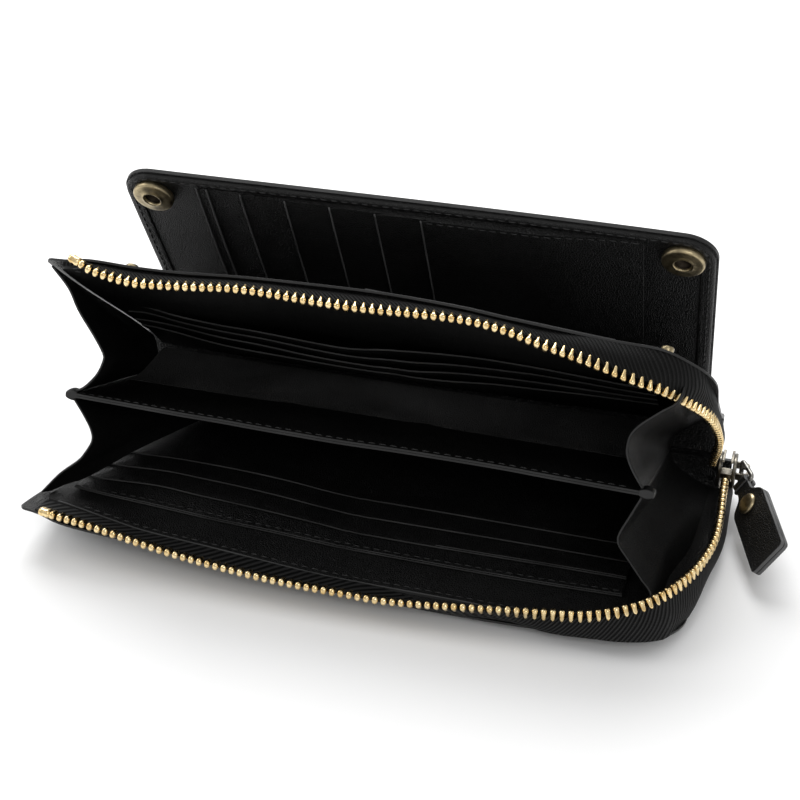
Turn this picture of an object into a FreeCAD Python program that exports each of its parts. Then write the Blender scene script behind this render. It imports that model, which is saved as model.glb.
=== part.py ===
import FreeCAD, Part
import Sketcher
import math
import os

# Long wallet: two pouch halves and a divider fold about one spine axis, a snap flap folds behind
# the back half, and an L-shaped zip runs along the opening edge and down the right-hand end.
# World frame: X along the wallet, -Y towards the opening edge of the front half, +Z up.
# The origin is the centre of the front cover's underside.

SIZES = [
    # leaves
    ("HalfLength", 95.5), ("LeafWidth", 91.0), ("HalfDepth", 12.0), ("CoverThick", 1.4),
    ("ZipCorner", 20.0), ("PlainCorner", 3.0), ("SpineWall", 1.4), ("SpineGap", 0.4),
    ("SpineFoot", 0.02), ("SpineHigh", 11.6),
    ("DividerAngle", 21.5), ("BackAngle", 43.0), ("FlapAngle", 59.0),
    # linings
    ("LiningThick", 0.9), ("LiningHalf", 93.0), ("LiningNear", 2.0), ("LiningFar", 88.5),
    ("LiningCorner", 17.5), ("LiningPlain", 2.0),
    # pocket plies inside the pouch
    ("PlyThick", 0.6), ("PlyLeft", 90.0), ("PlyLength", 165.5), ("PlyNear", 6.0),
    ("RowStep", 7.9), ("FirstRowDepth", 39.2), ("SlipPocketDepth", 62.8),
    ("BackRowDepth", 40.6), ("BackRowStep", 6.5),
    # divider
    ("DividerPly", 0.9), ("DividerLeft", 92.0), ("DividerLength", 168.5), ("DividerNear", 4.0),
    ("DividerDepth", 76.0), ("DividerSeam", 0.1),
    # accordion gussets
    ("GussetThick", 0.9), ("GussetNear", 12.0), ("GussetFar", 79.0), ("GussetClear", 0.3),
    ("GussetLeftAt", 93.4), ("GussetRightAt", 78.8), ("GussetPly", 23.6), ("GussetPlyNear", 7.6),
    ("GussetFoldShare", 0.35),
    # zip
    ("TapeHalf", 94.9), ("TapeStart", 92.0), ("TapeFar", 92.2), ("TapeThick", 0.8), ("TapeHigh", 7.2),
    ("TapeCorner", 20.0), ("TapeNear", 2.5), ("TeethPitch", 2.4), ("ToothLong", 1.35), ("ToothDeep", 2.2),
    ("ToothHigh", 3.5), ("ToothGap", 1.2), ("TeethNear", 14.0), ("TeethStart", 85.0),
    ("StopLong", 3.2), ("StopDeep", 2.8), ("StopHigh", 4.2), ("ToothEdge", 0.3), ("StopEdge", 0.5),
    ("ToothGrip", 1.0),
    # flap
    ("FlapHinge", 15.0), ("FlapHalf", 86.3), ("FlapNear", 1.2), ("FlapWidth", 82.4), ("FlapCorner", 9.5),
    ("FlapCover", 1.3), ("FlapCoverLow", 3.0), ("FlapLining", 1.0), ("FlapLiningHalf", 84.6),
    ("FlapLiningWidth", 85.1), ("FlapLiningCorner", 7.1), ("FlapPly", 0.44), ("FlapPlyFirst", 63.0),
    ("FlapPlyStep", 13.4), ("FlapPlyEnd", 66.0), ("FlapPlyNear", 5.0), ("FlapPlyDepth", 74.0),
    # card pockets on the outer face of the back half
    ("OuterPly", 0.38), ("OuterPlyFirst", 62.0), ("OuterPlyStep", 13.8), ("OuterPlyEnd", 64.0),
    ("OuterPlyNear", 5.0), ("OuterPlyDepth", 82.0),
    # leather folds along the spine
    ("FoldThick", 1.0), ("FoldClear", 0.3), ("SpineFoldReach", 7.0), ("FlapFoldThick", 1.2),
    ("FlapFoldStart", 7.0), ("FlapFoldBulge", 1.6), ("FlapFoldClear", 0.45), ("FlapFoldRise", 0.6),
    ("FlapFoldInset", 2.0),
    # snaps
    ("SnapAcross", 77.0), ("SnapReach", 73.8), ("SocketRadius", 6.0), ("SocketHigh", 3.0),
    ("SocketBore", 2.4), ("SocketBoreDeep", 2.6), ("SocketRound", 0.7), ("StudBase", 5.0),
    ("StudBaseHigh", 1.2), ("StudRadius", 1.8), ("StudHigh", 4.0), ("StudRound", 0.5),
    ("CapRadius", 6.2), ("CapHigh", 1.3), ("CapRound", 1.0),
    # slider
    ("SliderAt", 7.0), ("SliderLong", 10.0), ("SliderWide", 11.0), ("SliderPlate", 1.1),
    ("SliderChannel", 3.2), ("SliderFlange", 0.5), ("SliderSlot", 1.6), ("SliderPost", 1.6),
    ("SliderPostLong", 3.4), ("BridgeLong", 7.6), ("BridgeWide", 2.4), ("BridgeLeg", 1.3),
    ("BridgeHollow", 3.0), ("BridgeBar", 0.9),
    # pull
    ("LinkWire", 0.7), ("LinkReach", 8.0), ("LinkHalf", 3.8), ("LinkTurn", 12.0), ("LinkRoll", 57.0),
    ("TabBore", 0.95), ("TabEye", 2.3), ("TabPly", 1.3), ("TabWide", 13.0), ("TabNeck", 5.2),
    ("TabLong", 35.0), ("TabNeckLong", 5.0), ("TabShoulder", 3.5), ("TabDrop", 7.0),
    ("RivetAt", 10.0), ("RivetShaft", 1.2), ("RivetHole", 1.25), ("RivetHead", 3.3),
    ("RivetHeadHigh", 1.5), ("RivetRound", 1.2), ("RivetBack", 2.8), ("RivetBackHigh", 0.7),
    ("TabCorner", 1.5), ("TabEyeGap", 0.3),
]
CARD_ROWS_FRONT = 3
CARD_ROWS_BACK = 4
CARD_ROWS_FLAP = 6
CARD_ROWS_OUTER = 5
PLY_AIR = 0.05

doc = FreeCAD.newDocument("LongWallet")
sheet = doc.addObject("Spreadsheet::Sheet", "Sizes")
for number, (alias, size) in enumerate(SIZES, start=1):
    sheet.set("A%d" % number, alias)
    sheet.set("B%d" % number, str(size))
    sheet.setAlias("B%d" % number, alias)
doc.recompute()

Vec = FreeCAD.Vector
X_AXIS = Vec(1, 0, 0)
Y_AXIS = Vec(0, 1, 0)
Z_AXIS = Vec(0, 0, 1)
nodes = []


def size(alias):
    return float(sheet.get(alias))


def bind(obj, prop, alias):
    obj.setExpression(prop, "Sizes." + alias)


def placed(base, axis=X_AXIS, angle=0.0):
    return FreeCAD.Placement(base, FreeCAD.Rotation(axis, angle))


HINGE = Vec(0, size("LeafWidth") / 2, size("HalfDepth"))


def leaf_frame(angle):
    """Frame of a leaf opened by an angle: origin on the spine axis, -Y towards its free edge."""
    return placed(HINGE, X_AXIS, -angle)


FRONT = leaf_frame(0)
DIVIDER = leaf_frame(size("DividerAngle"))
BACK = leaf_frame(size("BackAngle"))
FLAP = BACK * placed(Vec(0, 0, size("FlapHinge")), X_AXIS, size("BackAngle") - size("FlapAngle"))


def finish(obj, label):
    obj.Label = label
    nodes.append(obj)
    return obj


def plane_of(body, role):
    for feature in body.Origin.OriginFeatures:
        if feature.Role == role:
            return feature
    raise ValueError(role)


def sketch_on(body, name, low):
    sketch = body.newObject("Sketcher::SketchObject", name)
    sketch.AttachmentSupport = [(plane_of(body, "XY_Plane"), "")]
    sketch.MapMode = "FlatFace"
    sketch.AttachmentOffset = FreeCAD.Placement(Vec(0, 0, low), FreeCAD.Rotation())
    return sketch


def named(sketch, name, alias, *parts):
    index = sketch.addConstraint(Sketcher.Constraint(*parts, size(alias)))
    sketch.renameConstraint(index, name)
    bind(sketch, "Constraints." + name, alias)


def add_all(sketch, constraints):
    for parts in constraints:
        sketch.addConstraint(Sketcher.Constraint(*parts))


def line(start, end):
    return Part.LineSegment(Vec(start[0], start[1], 0), Vec(end[0], end[1], 0))


def arc(centre, radius, first, last):
    circle = Part.Circle(Vec(centre[0], centre[1], 0), Z_AXIS, radius)
    return Part.ArcOfCircle(circle, math.radians(first), math.radians(last))


def rounded_outline(sketch, left, right, near, far, corner_left, corner_right):
    """Rectangle from the spine to the free edge with rounded free corners."""
    x_left, x_right = -size(left), size(right)
    y_near, y_far = -size(near), -size(far)
    r_left, r_right = size(corner_left), size(corner_right)
    sketch.addGeometry([
        line((x_left, y_near), (x_right, y_near)),
        line((x_right, y_near), (x_right, y_far + r_right)),
        arc((x_right - r_right, y_far + r_right), r_right, -90, 0),
        line((x_right - r_right, y_far), (x_left + r_left, y_far)),
        arc((x_left + r_left, y_far + r_left), r_left, 180, 270),
        line((x_left, y_far + r_left), (x_left, y_near)),
    ], False)
    add_all(sketch, [
        ("Coincident", 0, 2, 1, 1), ("Tangent", 1, 2, 2, 2), ("Tangent", 2, 1, 3, 1),
        ("Tangent", 3, 2, 4, 2), ("Tangent", 4, 1, 5, 1), ("Coincident", 5, 2, 0, 1),
        ("Horizontal", 0), ("Horizontal", 3), ("Vertical", 1), ("Vertical", 5),
    ])
    named(sketch, "Left", left, "DistanceX", 0, 1, -1, 1)
    named(sketch, "Right", right, "DistanceX", -1, 1, 0, 2)
    named(sketch, "Near", near, "DistanceY", 0, 1, -1, 1)
    named(sketch, "Far", far, "DistanceY", 3, 1, -1, 1)
    named(sketch, "CornerLeft", corner_left, "Radius", 4)
    named(sketch, "CornerRight", corner_right, "Radius", 2)


def pad(body, sketch, name, length):
    feature = body.newObject("PartDesign::Pad", name)
    feature.Profile = sketch
    bind(feature, "Length", length)
    sketch.Visibility = False
    return feature


def plate(label, frame, outline, low, thick):
    """Flat piece with a rounded outline, from height low upwards in its leaf's frame."""
    body = doc.addObject("PartDesign::Body", label)
    sketch = sketch_on(body, label + "_outline", low)
    rounded_outline(sketch, *outline)
    pad(body, sketch, label + "_pad", thick)
    body.Placement = frame
    return body


def ply(label, frame, x_low, near, length, depth, thick, low):
    """Rectangular pocket ply; length and depth are cells, or cells with a number taken off."""
    box = doc.addObject("Part::Box", label)
    for prop, given in (("Length", length), ("Width", depth), ("Height", thick)):
        if isinstance(given, tuple):
            box.setExpression(prop, "Sizes.%s - %s" % (given[0], given[1]))
        else:
            bind(box, prop, given)
    doc.recompute()
    box.Placement = frame * placed(Vec(x_low, -near - box.Width.Value, low))
    return finish(box, label)


def cover(label, frame, outer, side):
    """Outer leather of one half: a panel and the half of the spine wall that it turns up into."""
    low = outer if side < 0 else outer - size("CoverThick")
    body = plate(label, frame, ("HalfLength", "HalfLength", "SpineFoot", "LeafWidth",
                                "PlainCorner", "ZipCorner"), low, "CoverThick")
    wall = sketch_on(body, label + "_wall_outline", outer if side < 0 else size("SpineGap"))
    half, thick, foot = size("HalfLength"), size("SpineWall"), size("SpineFoot")
    wall.addGeometry([
        line((-half, -foot - thick), (half, -foot - thick)), line((half, -foot - thick), (half, -foot)),
        line((half, -foot), (-half, -foot)), line((-half, -foot), (-half, -foot - thick)),
    ], False)
    add_all(wall, [
        ("Coincident", 0, 2, 1, 1), ("Coincident", 1, 2, 2, 1), ("Coincident", 2, 2, 3, 1),
        ("Coincident", 3, 2, 0, 1), ("Horizontal", 0), ("Horizontal", 2), ("Vertical", 1), ("Vertical", 3),
    ])
    named(wall, "Left", "HalfLength", "DistanceX", 0, 1, -1, 1)
    named(wall, "Right", "HalfLength", "DistanceX", -1, 1, 0, 2)
    named(wall, "Foot", "SpineFoot", "DistanceY", 2, 1, -1, 1)
    named(wall, "Thick", "SpineWall", "DistanceY", 1, 1, 1, 2)
    pad(body, wall, label + "_wall", "SpineHigh")
    return finish(body, label)


def zip_tape(label, frame, low):
    """Woven tape standing as a wall along the free edge, round the corner and down the right end."""
    body = doc.addObject("PartDesign::Body", label)
    sketch = sketch_on(body, label + "_outline", low)
    left, right, near, far = size("TapeStart"), size("TapeHalf"), size("TapeNear"), size("TapeFar")
    radius, thick = size("TapeCorner"), size("TapeThick")
    centre = (right - radius, -far + radius)
    sketch.addGeometry([
        line((-left, -far), (centre[0], -far)),
        arc(centre, radius, -90, 0),
        line((right, centre[1]), (right, -near)),
        line((right, -near), (right - thick, -near)),
        line((right - thick, -near), (right - thick, centre[1])),
        arc(centre, radius - thick, -90, 0),
        line((centre[0], -far + thick), (-left, -far + thick)),
        line((-left, -far + thick), (-left, -far)),
    ], False)
    add_all(sketch, [
        ("Tangent", 0, 2, 1, 1), ("Tangent", 1, 2, 2, 1), ("Coincident", 2, 2, 3, 1),
        ("Coincident", 3, 2, 4, 1), ("Tangent", 4, 2, 5, 2), ("Tangent", 5, 1, 6, 1),
        ("Coincident", 6, 2, 7, 1), ("Coincident", 7, 2, 0, 1), ("Horizontal", 0), ("Horizontal", 3),
        ("Horizontal", 6), ("Vertical", 2), ("Vertical", 4), ("Vertical", 7), ("Coincident", 1, 3, 5, 3),
    ])
    named(sketch, "Left", "TapeStart", "DistanceX", 0, 1, -1, 1)
    named(sketch, "Right", "TapeHalf", "DistanceX", -1, 1, 2, 2)
    named(sketch, "Near", "TapeNear", "DistanceY", 2, 2, -1, 1)
    named(sketch, "Far", "TapeFar", "DistanceY", 0, 1, -1, 1)
    named(sketch, "Corner", "TapeCorner", "Radius", 1)
    named(sketch, "Thick", "TapeThick", "DistanceX", 3, 2, 3, 1)
    pad(body, sketch, label + "_pad", "TapeHigh")
    body.Placement = frame
    return finish(body, label)


def feature(label, shape, frame):
    obj = doc.addObject("Part::Feature", label)
    obj.Shape = shape
    obj.Placement = frame
    return finish(obj, label)


def box_at(centre, across, deep, high):
    """Box centred in X and Y on a point and standing on its height."""
    return Part.makeBox(across, deep, high, Vec(centre[0] - across / 2, centre[1] - deep / 2, centre[2]))


def zip_stations():
    """Points and headings one pitch apart along the middle of the tape, left end to spine end."""
    half_tape = size("TapeThick") / 2
    y_line = -size("TapeFar") + half_tape
    x_line = size("TapeHalf") - half_tape
    radius = size("TapeCorner") - half_tape
    x_turn, y_turn = x_line - radius, y_line + radius
    straight = x_turn + size("TeethStart")
    bend = radius * math.pi / 2
    side = -size("TeethNear") - y_turn
    count = int((straight + bend + side) / size("TeethPitch"))
    for number in range(count + 1):
        along = number * size("TeethPitch")
        if along <= straight:
            yield x_turn - straight + along, y_line, 0.0
        elif along <= straight + bend:
            turn = (along - straight) / radius
            yield x_turn + radius * math.sin(turn), y_turn - radius * math.cos(turn), math.degrees(turn)
        else:
            yield x_line, y_turn + along - straight - bend, 90.0


def zip_teeth(label, frame, side):
    """One row of metal teeth clamped over the tape's edge: a group of equal solids."""
    long, deep, high = size("ToothLong"), size("ToothDeep"), size("ToothHigh")
    low = size("ToothGap") if side > 0 else -size("ToothGap") - high
    teeth = []
    for x_at, y_at, heading in zip_stations():
        tooth = box_at((0, 0, low), long, deep, high)
        edges = [edge for edge in tooth.Edges if abs(edge.tangentAt(edge.FirstParameter).z) > 0.9]
        tooth = tooth.makeChamfer(size("ToothEdge"), edges)
        tooth.Placement = placed(Vec(x_at, y_at, 0), Z_AXIS, heading)
        teeth.append(tooth)
    return feature(label, Part.makeCompound(teeth), frame)


def end_stop(label, frame, side):
    high = size("StopHigh")
    low = size("ToothGap") if side > 0 else -size("ToothGap") - high
    x_at = -size("TeethStart") - size("TeethPitch") / 2 - size("StopLong") / 2
    y_at = -size("TapeFar") + size("TapeThick") / 2
    stop = box_at((x_at, y_at, low), size("StopLong"), size("StopDeep"), high)
    return feature(label, stop.makeChamfer(size("StopEdge"), stop.Edges), frame)


def gusset(label, x_at, inward, first, first_height, second, second_height):
    """V-folded side wall between two leaves, as a closed sheet lofted from spine to opening."""
    sections = []
    for reach_cell, ply_cell in (("GussetNear", "GussetPlyNear"), ("GussetFar", "GussetPly")):
        reach, ply_length = size(reach_cell), size(ply_cell)
        one = first.multVec(Vec(x_at, -reach, first_height))
        two = second.multVec(Vec(x_at, -reach, second_height))
        half_span = (two - one).Length / 2
        fold = math.sqrt(ply_length ** 2 - half_span ** 2) * inward
        thick = size("GussetThick") * inward
        middle = (one + two) / 2
        sideways = X_AXIS * thick * (1 + abs(half_span / fold) * size("GussetFoldShare"))
        tip = middle + X_AXIS * fold
        section = [one, tip, two, two + sideways, tip + sideways, one + sideways]
        sections.append(Part.makePolygon(section + [section[0]]))
    shape = Part.makeLoft(sections, True, True)
    return feature(label, shape, placed(Vec(0, 0, 0)))


def fold_strip(label, outline, half_length):
    """Strip of leather along the spine: an outline across the spine, drawn out along X."""
    outline = [point - X_AXIS * half_length for point in outline]
    face = Part.Face(Part.makePolygon(outline + [outline[0]]))
    return feature(label, face.extrude(X_AXIS * 2 * half_length), placed(Vec(0, 0, 0)))


def snap_group(label, frame, makers):
    solids = []
    for x_at in (-size("SnapAcross"), size("SnapAcross")):
        solid = makers()
        solid.Placement = placed(Vec(x_at, -size("SnapReach"), 0))
        solids.append(solid)
    return feature(label, Part.makeCompound(solids), frame)


def round_edges(shape, radius, height):
    picked = [edge for edge in shape.Edges if abs(edge.BoundBox.ZMin - height) < 1e-6
              and abs(edge.BoundBox.ZMax - height) < 1e-6]
    return shape.makeFillet(radius, [max(picked, key=lambda edge: edge.Length)])


def socket_shape():
    """Snap socket: a low drum on the flap's inner face with a blind bore for the stud."""
    top = size("FlapCoverLow") - size("FlapLining")
    low = top - size("SocketHigh")
    drum = Part.makeCylinder(size("SocketRadius"), size("SocketHigh"), Vec(0, 0, low))
    drum = round_edges(drum, size("SocketRound"), low)
    return drum.cut(Part.makeCylinder(size("SocketBore"), size("SocketBoreDeep"), Vec(0, 0, low)))


def stud_shape():
    low = size("HalfDepth")
    base = Part.makeCylinder(size("StudBase"), size("StudBaseHigh"), Vec(0, 0, low))
    base = round_edges(base, size("StudRound"), low + size("StudBaseHigh"))
    post = Part.makeCylinder(size("StudRadius"), size("StudHigh"), Vec(0, 0, low))
    return base.fuse(round_edges(post, size("StudRound"), low + size("StudHigh"))).removeSplitter()


def cap_shape():
    low = size("FlapCoverLow") + size("FlapCover")
    cap = Part.makeCylinder(size("CapRadius"), size("CapHigh"), Vec(0, 0, low))
    return round_edges(cap, size("CapRound"), low + size("CapHigh"))


depth = size("HalfDepth")
lining_far_from_axis = depth - size("CoverThick") - PLY_AIR
lining_near_axis = lining_far_from_axis - size("LiningThick")
LINING = ("LiningHalf", "LiningHalf", "LiningNear", "LiningFar", "LiningPlain", "LiningCorner")
tape_low = size("ToothGap") + size("ToothHigh") - size("ToothGrip")

# front half, lying on its cover
cover("front_cover", FRONT, -depth, -1)
finish(plate("front_lining", FRONT, LINING, -lining_far_from_axis, "LiningThick"), "front_lining")
pocket_low = -lining_near_axis + PLY_AIR
ply("front_slip_pocket", FRONT, -size("PlyLeft"), size("PlyNear"), "PlyLength", "SlipPocketDepth",
    "PlyThick", pocket_low)
for row in range(CARD_ROWS_FRONT):
    shorter = round((CARD_ROWS_FRONT - 1 - row) * -size("RowStep"), 3)
    ply("front_card_row_%d" % (CARD_ROWS_FRONT - row), FRONT, -size("PlyLeft"), size("PlyNear"), "PlyLength",
        ("FirstRowDepth", shorter), "PlyThick", pocket_low + (row + 1) * (size("PlyThick") + PLY_AIR))
zip_tape("front_zip_tape", FRONT, -tape_low - size("TapeHigh"))
zip_teeth("front_zip_teeth", FRONT, -1)
end_stop("front_end_stop", FRONT, -1)

# divider leaf
seam = size("DividerSeam")
for label, low in (("divider_front_ply", -size("DividerPly") - seam / 2), ("divider_back_ply", seam / 2)):
    ply(label, DIVIDER, -size("DividerLeft"), size("DividerNear"), "DividerLength", "DividerDepth",
        "DividerPly", low)

# back half
cover("back_cover", BACK, depth, 1)
finish(plate("back_lining", BACK, LINING, lining_near_axis, "LiningThick"), "back_lining")
for row in range(CARD_ROWS_BACK):
    shorter = row * size("BackRowStep")
    ply("back_card_row_%d" % (row + 1), BACK, -size("PlyLeft"), size("PlyNear"), "PlyLength",
        ("BackRowDepth", shorter), "PlyThick",
        lining_near_axis - PLY_AIR - size("PlyThick") - row * (size("PlyThick") + PLY_AIR))
zip_tape("back_zip_tape", BACK, tape_low)
zip_teeth("back_zip_teeth", BACK, 1)
end_stop("back_end_stop", BACK, 1)
for row in range(CARD_ROWS_OUTER):
    x_low = -size("OuterPlyFirst") + row * size("OuterPlyStep")
    shorter = round(x_low, 3)
    ply("back_outer_card_row_%d" % (row + 1), BACK, x_low, size("OuterPlyNear"), ("OuterPlyEnd", shorter),
        ("OuterPlyDepth", size("OuterPlyNear")), "OuterPly", depth + PLY_AIR + row * size("OuterPly"))
snap_group("snap_studs", BACK, stud_shape)

# accordion gussets
divider_face = size("DividerPly") + seam / 2 + size("GussetClear")
lining_face = lining_near_axis - size("GussetClear")
for side, x_at, inward in (("left", -size("GussetLeftAt"), 1), ("right", size("GussetRightAt"), -1)):
    gusset("gusset_%s_front" % side, x_at, inward, FRONT, -lining_face, DIVIDER, -divider_face)
    gusset("gusset_%s_back" % side, x_at, inward, DIVIDER, divider_face, BACK, lining_face)

# leather folds: thin strips behind the spine that bend as the leaves and the flap turn
clear, fold_thick = size("FoldClear"), size("FoldThick")
reach = size("SpineFoldReach")
outward = BACK.Rotation.multVec(Y_AXIS)
along = BACK.Rotation.multVec(Z_AXIS)
fold_up = HINGE + Y_AXIS * clear
fold_out = HINGE + outward * clear
mitre = math.tan(math.radians(size("BackAngle")) / 2)
spine_path = [fold_up - Z_AXIS * reach, fold_up + Z_AXIS * -clear * mitre, fold_out + along * reach]
spine_back = [fold_out + along * reach + outward * fold_thick,
              fold_up + Y_AXIS * fold_thick - Z_AXIS * (clear + fold_thick) * mitre,
              fold_up + Y_AXIS * fold_thick - Z_AXIS * reach]
fold_strip("spine_leather", spine_path + spine_back, size("HalfLength") - size("PlainCorner"))
thick = size("FlapFoldThick")
bulge = size("FlapFoldBulge")
flap_edge = BACK.inverse().multVec(FLAP.multVec(Vec(0, -size("FlapNear"), size("FlapCoverLow"))))
flap_edge_top = BACK.inverse().multVec(
    FLAP.multVec(Vec(0, -size("FlapNear"), size("FlapCoverLow") + size("FlapCover"))))
beside = Y_AXIS * size("FlapFoldClear")
rise = size("FlapFoldRise")
belly_at = (depth + flap_edge.z) / 2 + rise
flap_path = [
    Vec(0, clear, size("FlapFoldStart")), Vec(0, clear, depth + rise), Vec(0, clear + bulge, belly_at),
    flap_edge + beside, flap_edge_top + beside, Vec(0, clear + bulge + thick, belly_at),
    Vec(0, clear + thick, depth + rise / 2), Vec(0, clear + thick, size("FlapFoldStart"))]
fold_strip("flap_fold_leather", [BACK.multVec(point) for point in flap_path],
           size("FlapHalf") - size("FlapFoldInset"))

# cover flap
finish(plate("flap_cover", FLAP, ("FlapHalf", "FlapHalf", "FlapNear", "FlapWidth", "FlapCorner",
             "FlapCorner"), size("FlapCoverLow"), "FlapCover"), "flap_cover")
flap_lining_low = size("FlapCoverLow") - size("FlapLining")
finish(plate("flap_lining", FLAP, ("FlapLiningHalf", "FlapLiningHalf", "FlapNear", "FlapLiningWidth",
             "FlapLiningCorner", "FlapLiningCorner"), flap_lining_low, "FlapLining"), "flap_lining")
for row in range(CARD_ROWS_FLAP):
    x_low = -size("FlapPlyFirst") + row * size("FlapPlyStep")
    shorter = round(x_low, 3)
    ply("flap_card_row_%d" % (row + 1), FLAP, x_low, size("FlapPlyNear"), ("FlapPlyEnd", shorter),
        "FlapPlyDepth", "FlapPly", flap_lining_low - (row + 1) * size("FlapPly"))
snap_group("snap_sockets", FLAP, socket_shape)
snap_group("snap_caps", FLAP, cap_shape)

# slider on the right-hand run: the tape passes through its channel and the post parts the rows
x_tape = size("TapeHalf") - size("TapeThick") / 2
slider_frame = FRONT * placed(Vec(x_tape, -size("SliderAt"), 0))
half_channel = size("SliderChannel") / 2
plate_out = half_channel + size("SliderPlate")
long, wide = size("SliderLong"), size("SliderWide")
flange, slot = size("SliderFlange"), size("SliderSlot")


def block(x_low, x_high, y_low, y_high, z_low, z_high):
    return Part.makeBox(x_high - x_low, y_high - y_low, z_high - z_low, Vec(x_low, y_low, z_low))


slider = block(-plate_out, -half_channel, -long / 2, long / 2, -wide / 2, wide / 2)
pieces = [block(half_channel, plate_out, -long / 2, long / 2, -wide / 2, wide / 2)]
for sign in (-1, 1):
    z_low, z_high = sorted((sign * wide / 2, sign * (wide / 2 - flange)))
    pieces.append(block(-half_channel, -slot / 2, -long / 2, long / 2, z_low, z_high))
    pieces.append(block(slot / 2, half_channel, -long / 2, long / 2, z_low, z_high))
post = size("SliderPost")
post_end = size("SliderPostLong") - long / 2
pieces.append(block(-half_channel, half_channel, -long / 2, post_end, -post / 2, post / 2))
bridge_long, leg = size("BridgeLong"), size("BridgeLeg")
bridge_half = size("BridgeWide") / 2
hollow_top = plate_out + size("BridgeHollow")
for sign in (-1, 1):
    y_low, y_high = sorted((sign * bridge_long / 2, sign * (bridge_long / 2 - leg)))
    pieces.append(block(plate_out, hollow_top, y_low, y_high, -bridge_half, bridge_half))
pieces.append(block(hollow_top, hollow_top + size("BridgeBar"), -bridge_long / 2, bridge_long / 2,
                    -bridge_half, bridge_half))
feature("slider_body", slider.multiFuse(pieces).removeSplitter(), slider_frame)

# pull: a wire link through the slider's bridge, then the leather tab on the link's far bar
wire = size("LinkWire")
pin_at = slider_frame.multVec(Vec(plate_out + size("BridgeHollow") / 2, 0, 0))
heading = FreeCAD.Rotation(Z_AXIS, size("LinkTurn"))
forward = heading.multVec(-Y_AXIS)
bar_at = pin_at + forward * size("LinkReach")
bar_axis = FreeCAD.Rotation(forward, size("LinkRoll")).multVec(heading.multVec(-X_AXIS)) * -1.0
link_half = size("LinkHalf")
corners = [pin_at - Z_AXIS * link_half, pin_at + Z_AXIS * link_half,
           bar_at + bar_axis * link_half, bar_at - bar_axis * link_half]


def rod(start, end):
    return Part.makeCylinder(wire, (end - start).Length, start, end - start)


link = rod(corners[0], corners[1])
link_parts = [Part.makeSphere(wire, corner) for corner in corners]
link_parts += [rod(corners[k], corners[(k + 1) % 4]) for k in range(1, 4)]
feature("pull_link", link.multiFuse(link_parts), placed(Vec(0, 0, 0)))

# tab frame: origin on the far bar, X along the bar, -Y down the tab, Z out of its face
tab_down = FreeCAD.Rotation(bar_axis, size("TabDrop")).multVec(forward)
tab_face = bar_axis.cross(tab_down * -1.0)
turn = FreeCAD.Rotation(bar_axis, tab_down * -1.0, tab_face, "ZXY")
TAB = FreeCAD.Placement(bar_at, turn)
tab_ply, neck = size("TabPly"), size("TabNeck")


def tab_outline(start, low):
    half, neck_half = size("TabWide") / 2, neck / 2
    shoulder_at = -size("TabNeckLong")
    points = [(neck_half, start), (neck_half, shoulder_at), (half, shoulder_at - size("TabShoulder")),
              (half, -size("TabLong")), (-half, -size("TabLong")), (-half, shoulder_at - size("TabShoulder")),
              (-neck_half, shoulder_at), (-neck_half, start)]
    points = [Vec(x_at, y_at, low) for x_at, y_at in points]
    flat = Part.Face(Part.makePolygon(points + [points[0]]))
    solid = flat.extrude(Vec(0, 0, tab_ply))
    bottom = [edge for edge in solid.Edges if abs(edge.BoundBox.YMax + size("TabLong")) < 1e-6
              and edge.Length < tab_ply + 1e-6]
    return solid.makeFillet(size("TabCorner"), bottom)


hole = Part.makeCylinder(size("RivetHole"), 4 * tab_ply, Vec(0, -size("RivetAt"), -2 * tab_ply))
eye = Part.makeCylinder(size("TabEye"), neck, Vec(-neck / 2, 0, 0), X_AXIS)
eye_bore = Part.makeCylinder(size("TabBore"), neck, Vec(-neck / 2, 0, 0), X_AXIS)
front_ply = tab_outline(0, 0).fuse(eye).cut(eye_bore).cut(hole).removeSplitter()
feature("pull_tab_front_ply", front_ply, TAB)
back_ply = tab_outline(-size("TabEye") - size("TabEyeGap"), -tab_ply).cut(hole)
feature("pull_tab_back_ply", back_ply, TAB)
head = Part.makeCylinder(size("RivetHead"), size("RivetHeadHigh"), Vec(0, 0, tab_ply))
head = round_edges(head, size("RivetRound"), tab_ply + size("RivetHeadHigh"))
shaft = Part.makeCylinder(size("RivetShaft"), 2 * tab_ply, Vec(0, 0, -tab_ply))
tail_high = size("RivetBackHigh")
tail = Part.makeCylinder(size("RivetBack"), tail_high, Vec(0, 0, -tab_ply - tail_high))
rivet = head.multiFuse([shaft, tail]).removeSplitter()
feature("pull_rivet", rivet, TAB * placed(Vec(0, -size("RivetAt"), 0)))

doc.recompute()
for obj in doc.Objects:
    if "Invalid" in obj.State or "Error" in obj.State:
        raise RuntimeError("failed object: " + obj.Name)
os.makedirs("parts", exist_ok=True)
for obj in nodes:
    shape = obj.Shape
    if shape.isNull() or not shape.isValid() or not shape.Solids:
        raise RuntimeError("bad shape: " + obj.Label)
    shape.exportStep(os.path.join("parts", obj.Label + ".step"))
    box = shape.BoundBox
    spans = (box.XMin, box.XMax, box.YMin, box.YMax, box.ZMin, box.ZMax)
    print("%-26s solids %3d volume %9.1f" % (obj.Label, len(shape.Solids), shape.Volume),
          "x %7.1f %7.1f y %7.1f %7.1f z %7.1f %7.1f" % spans)
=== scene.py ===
import math

import bmesh
import bpy
import numpy as np
from mathutils import Matrix, Vector


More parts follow.
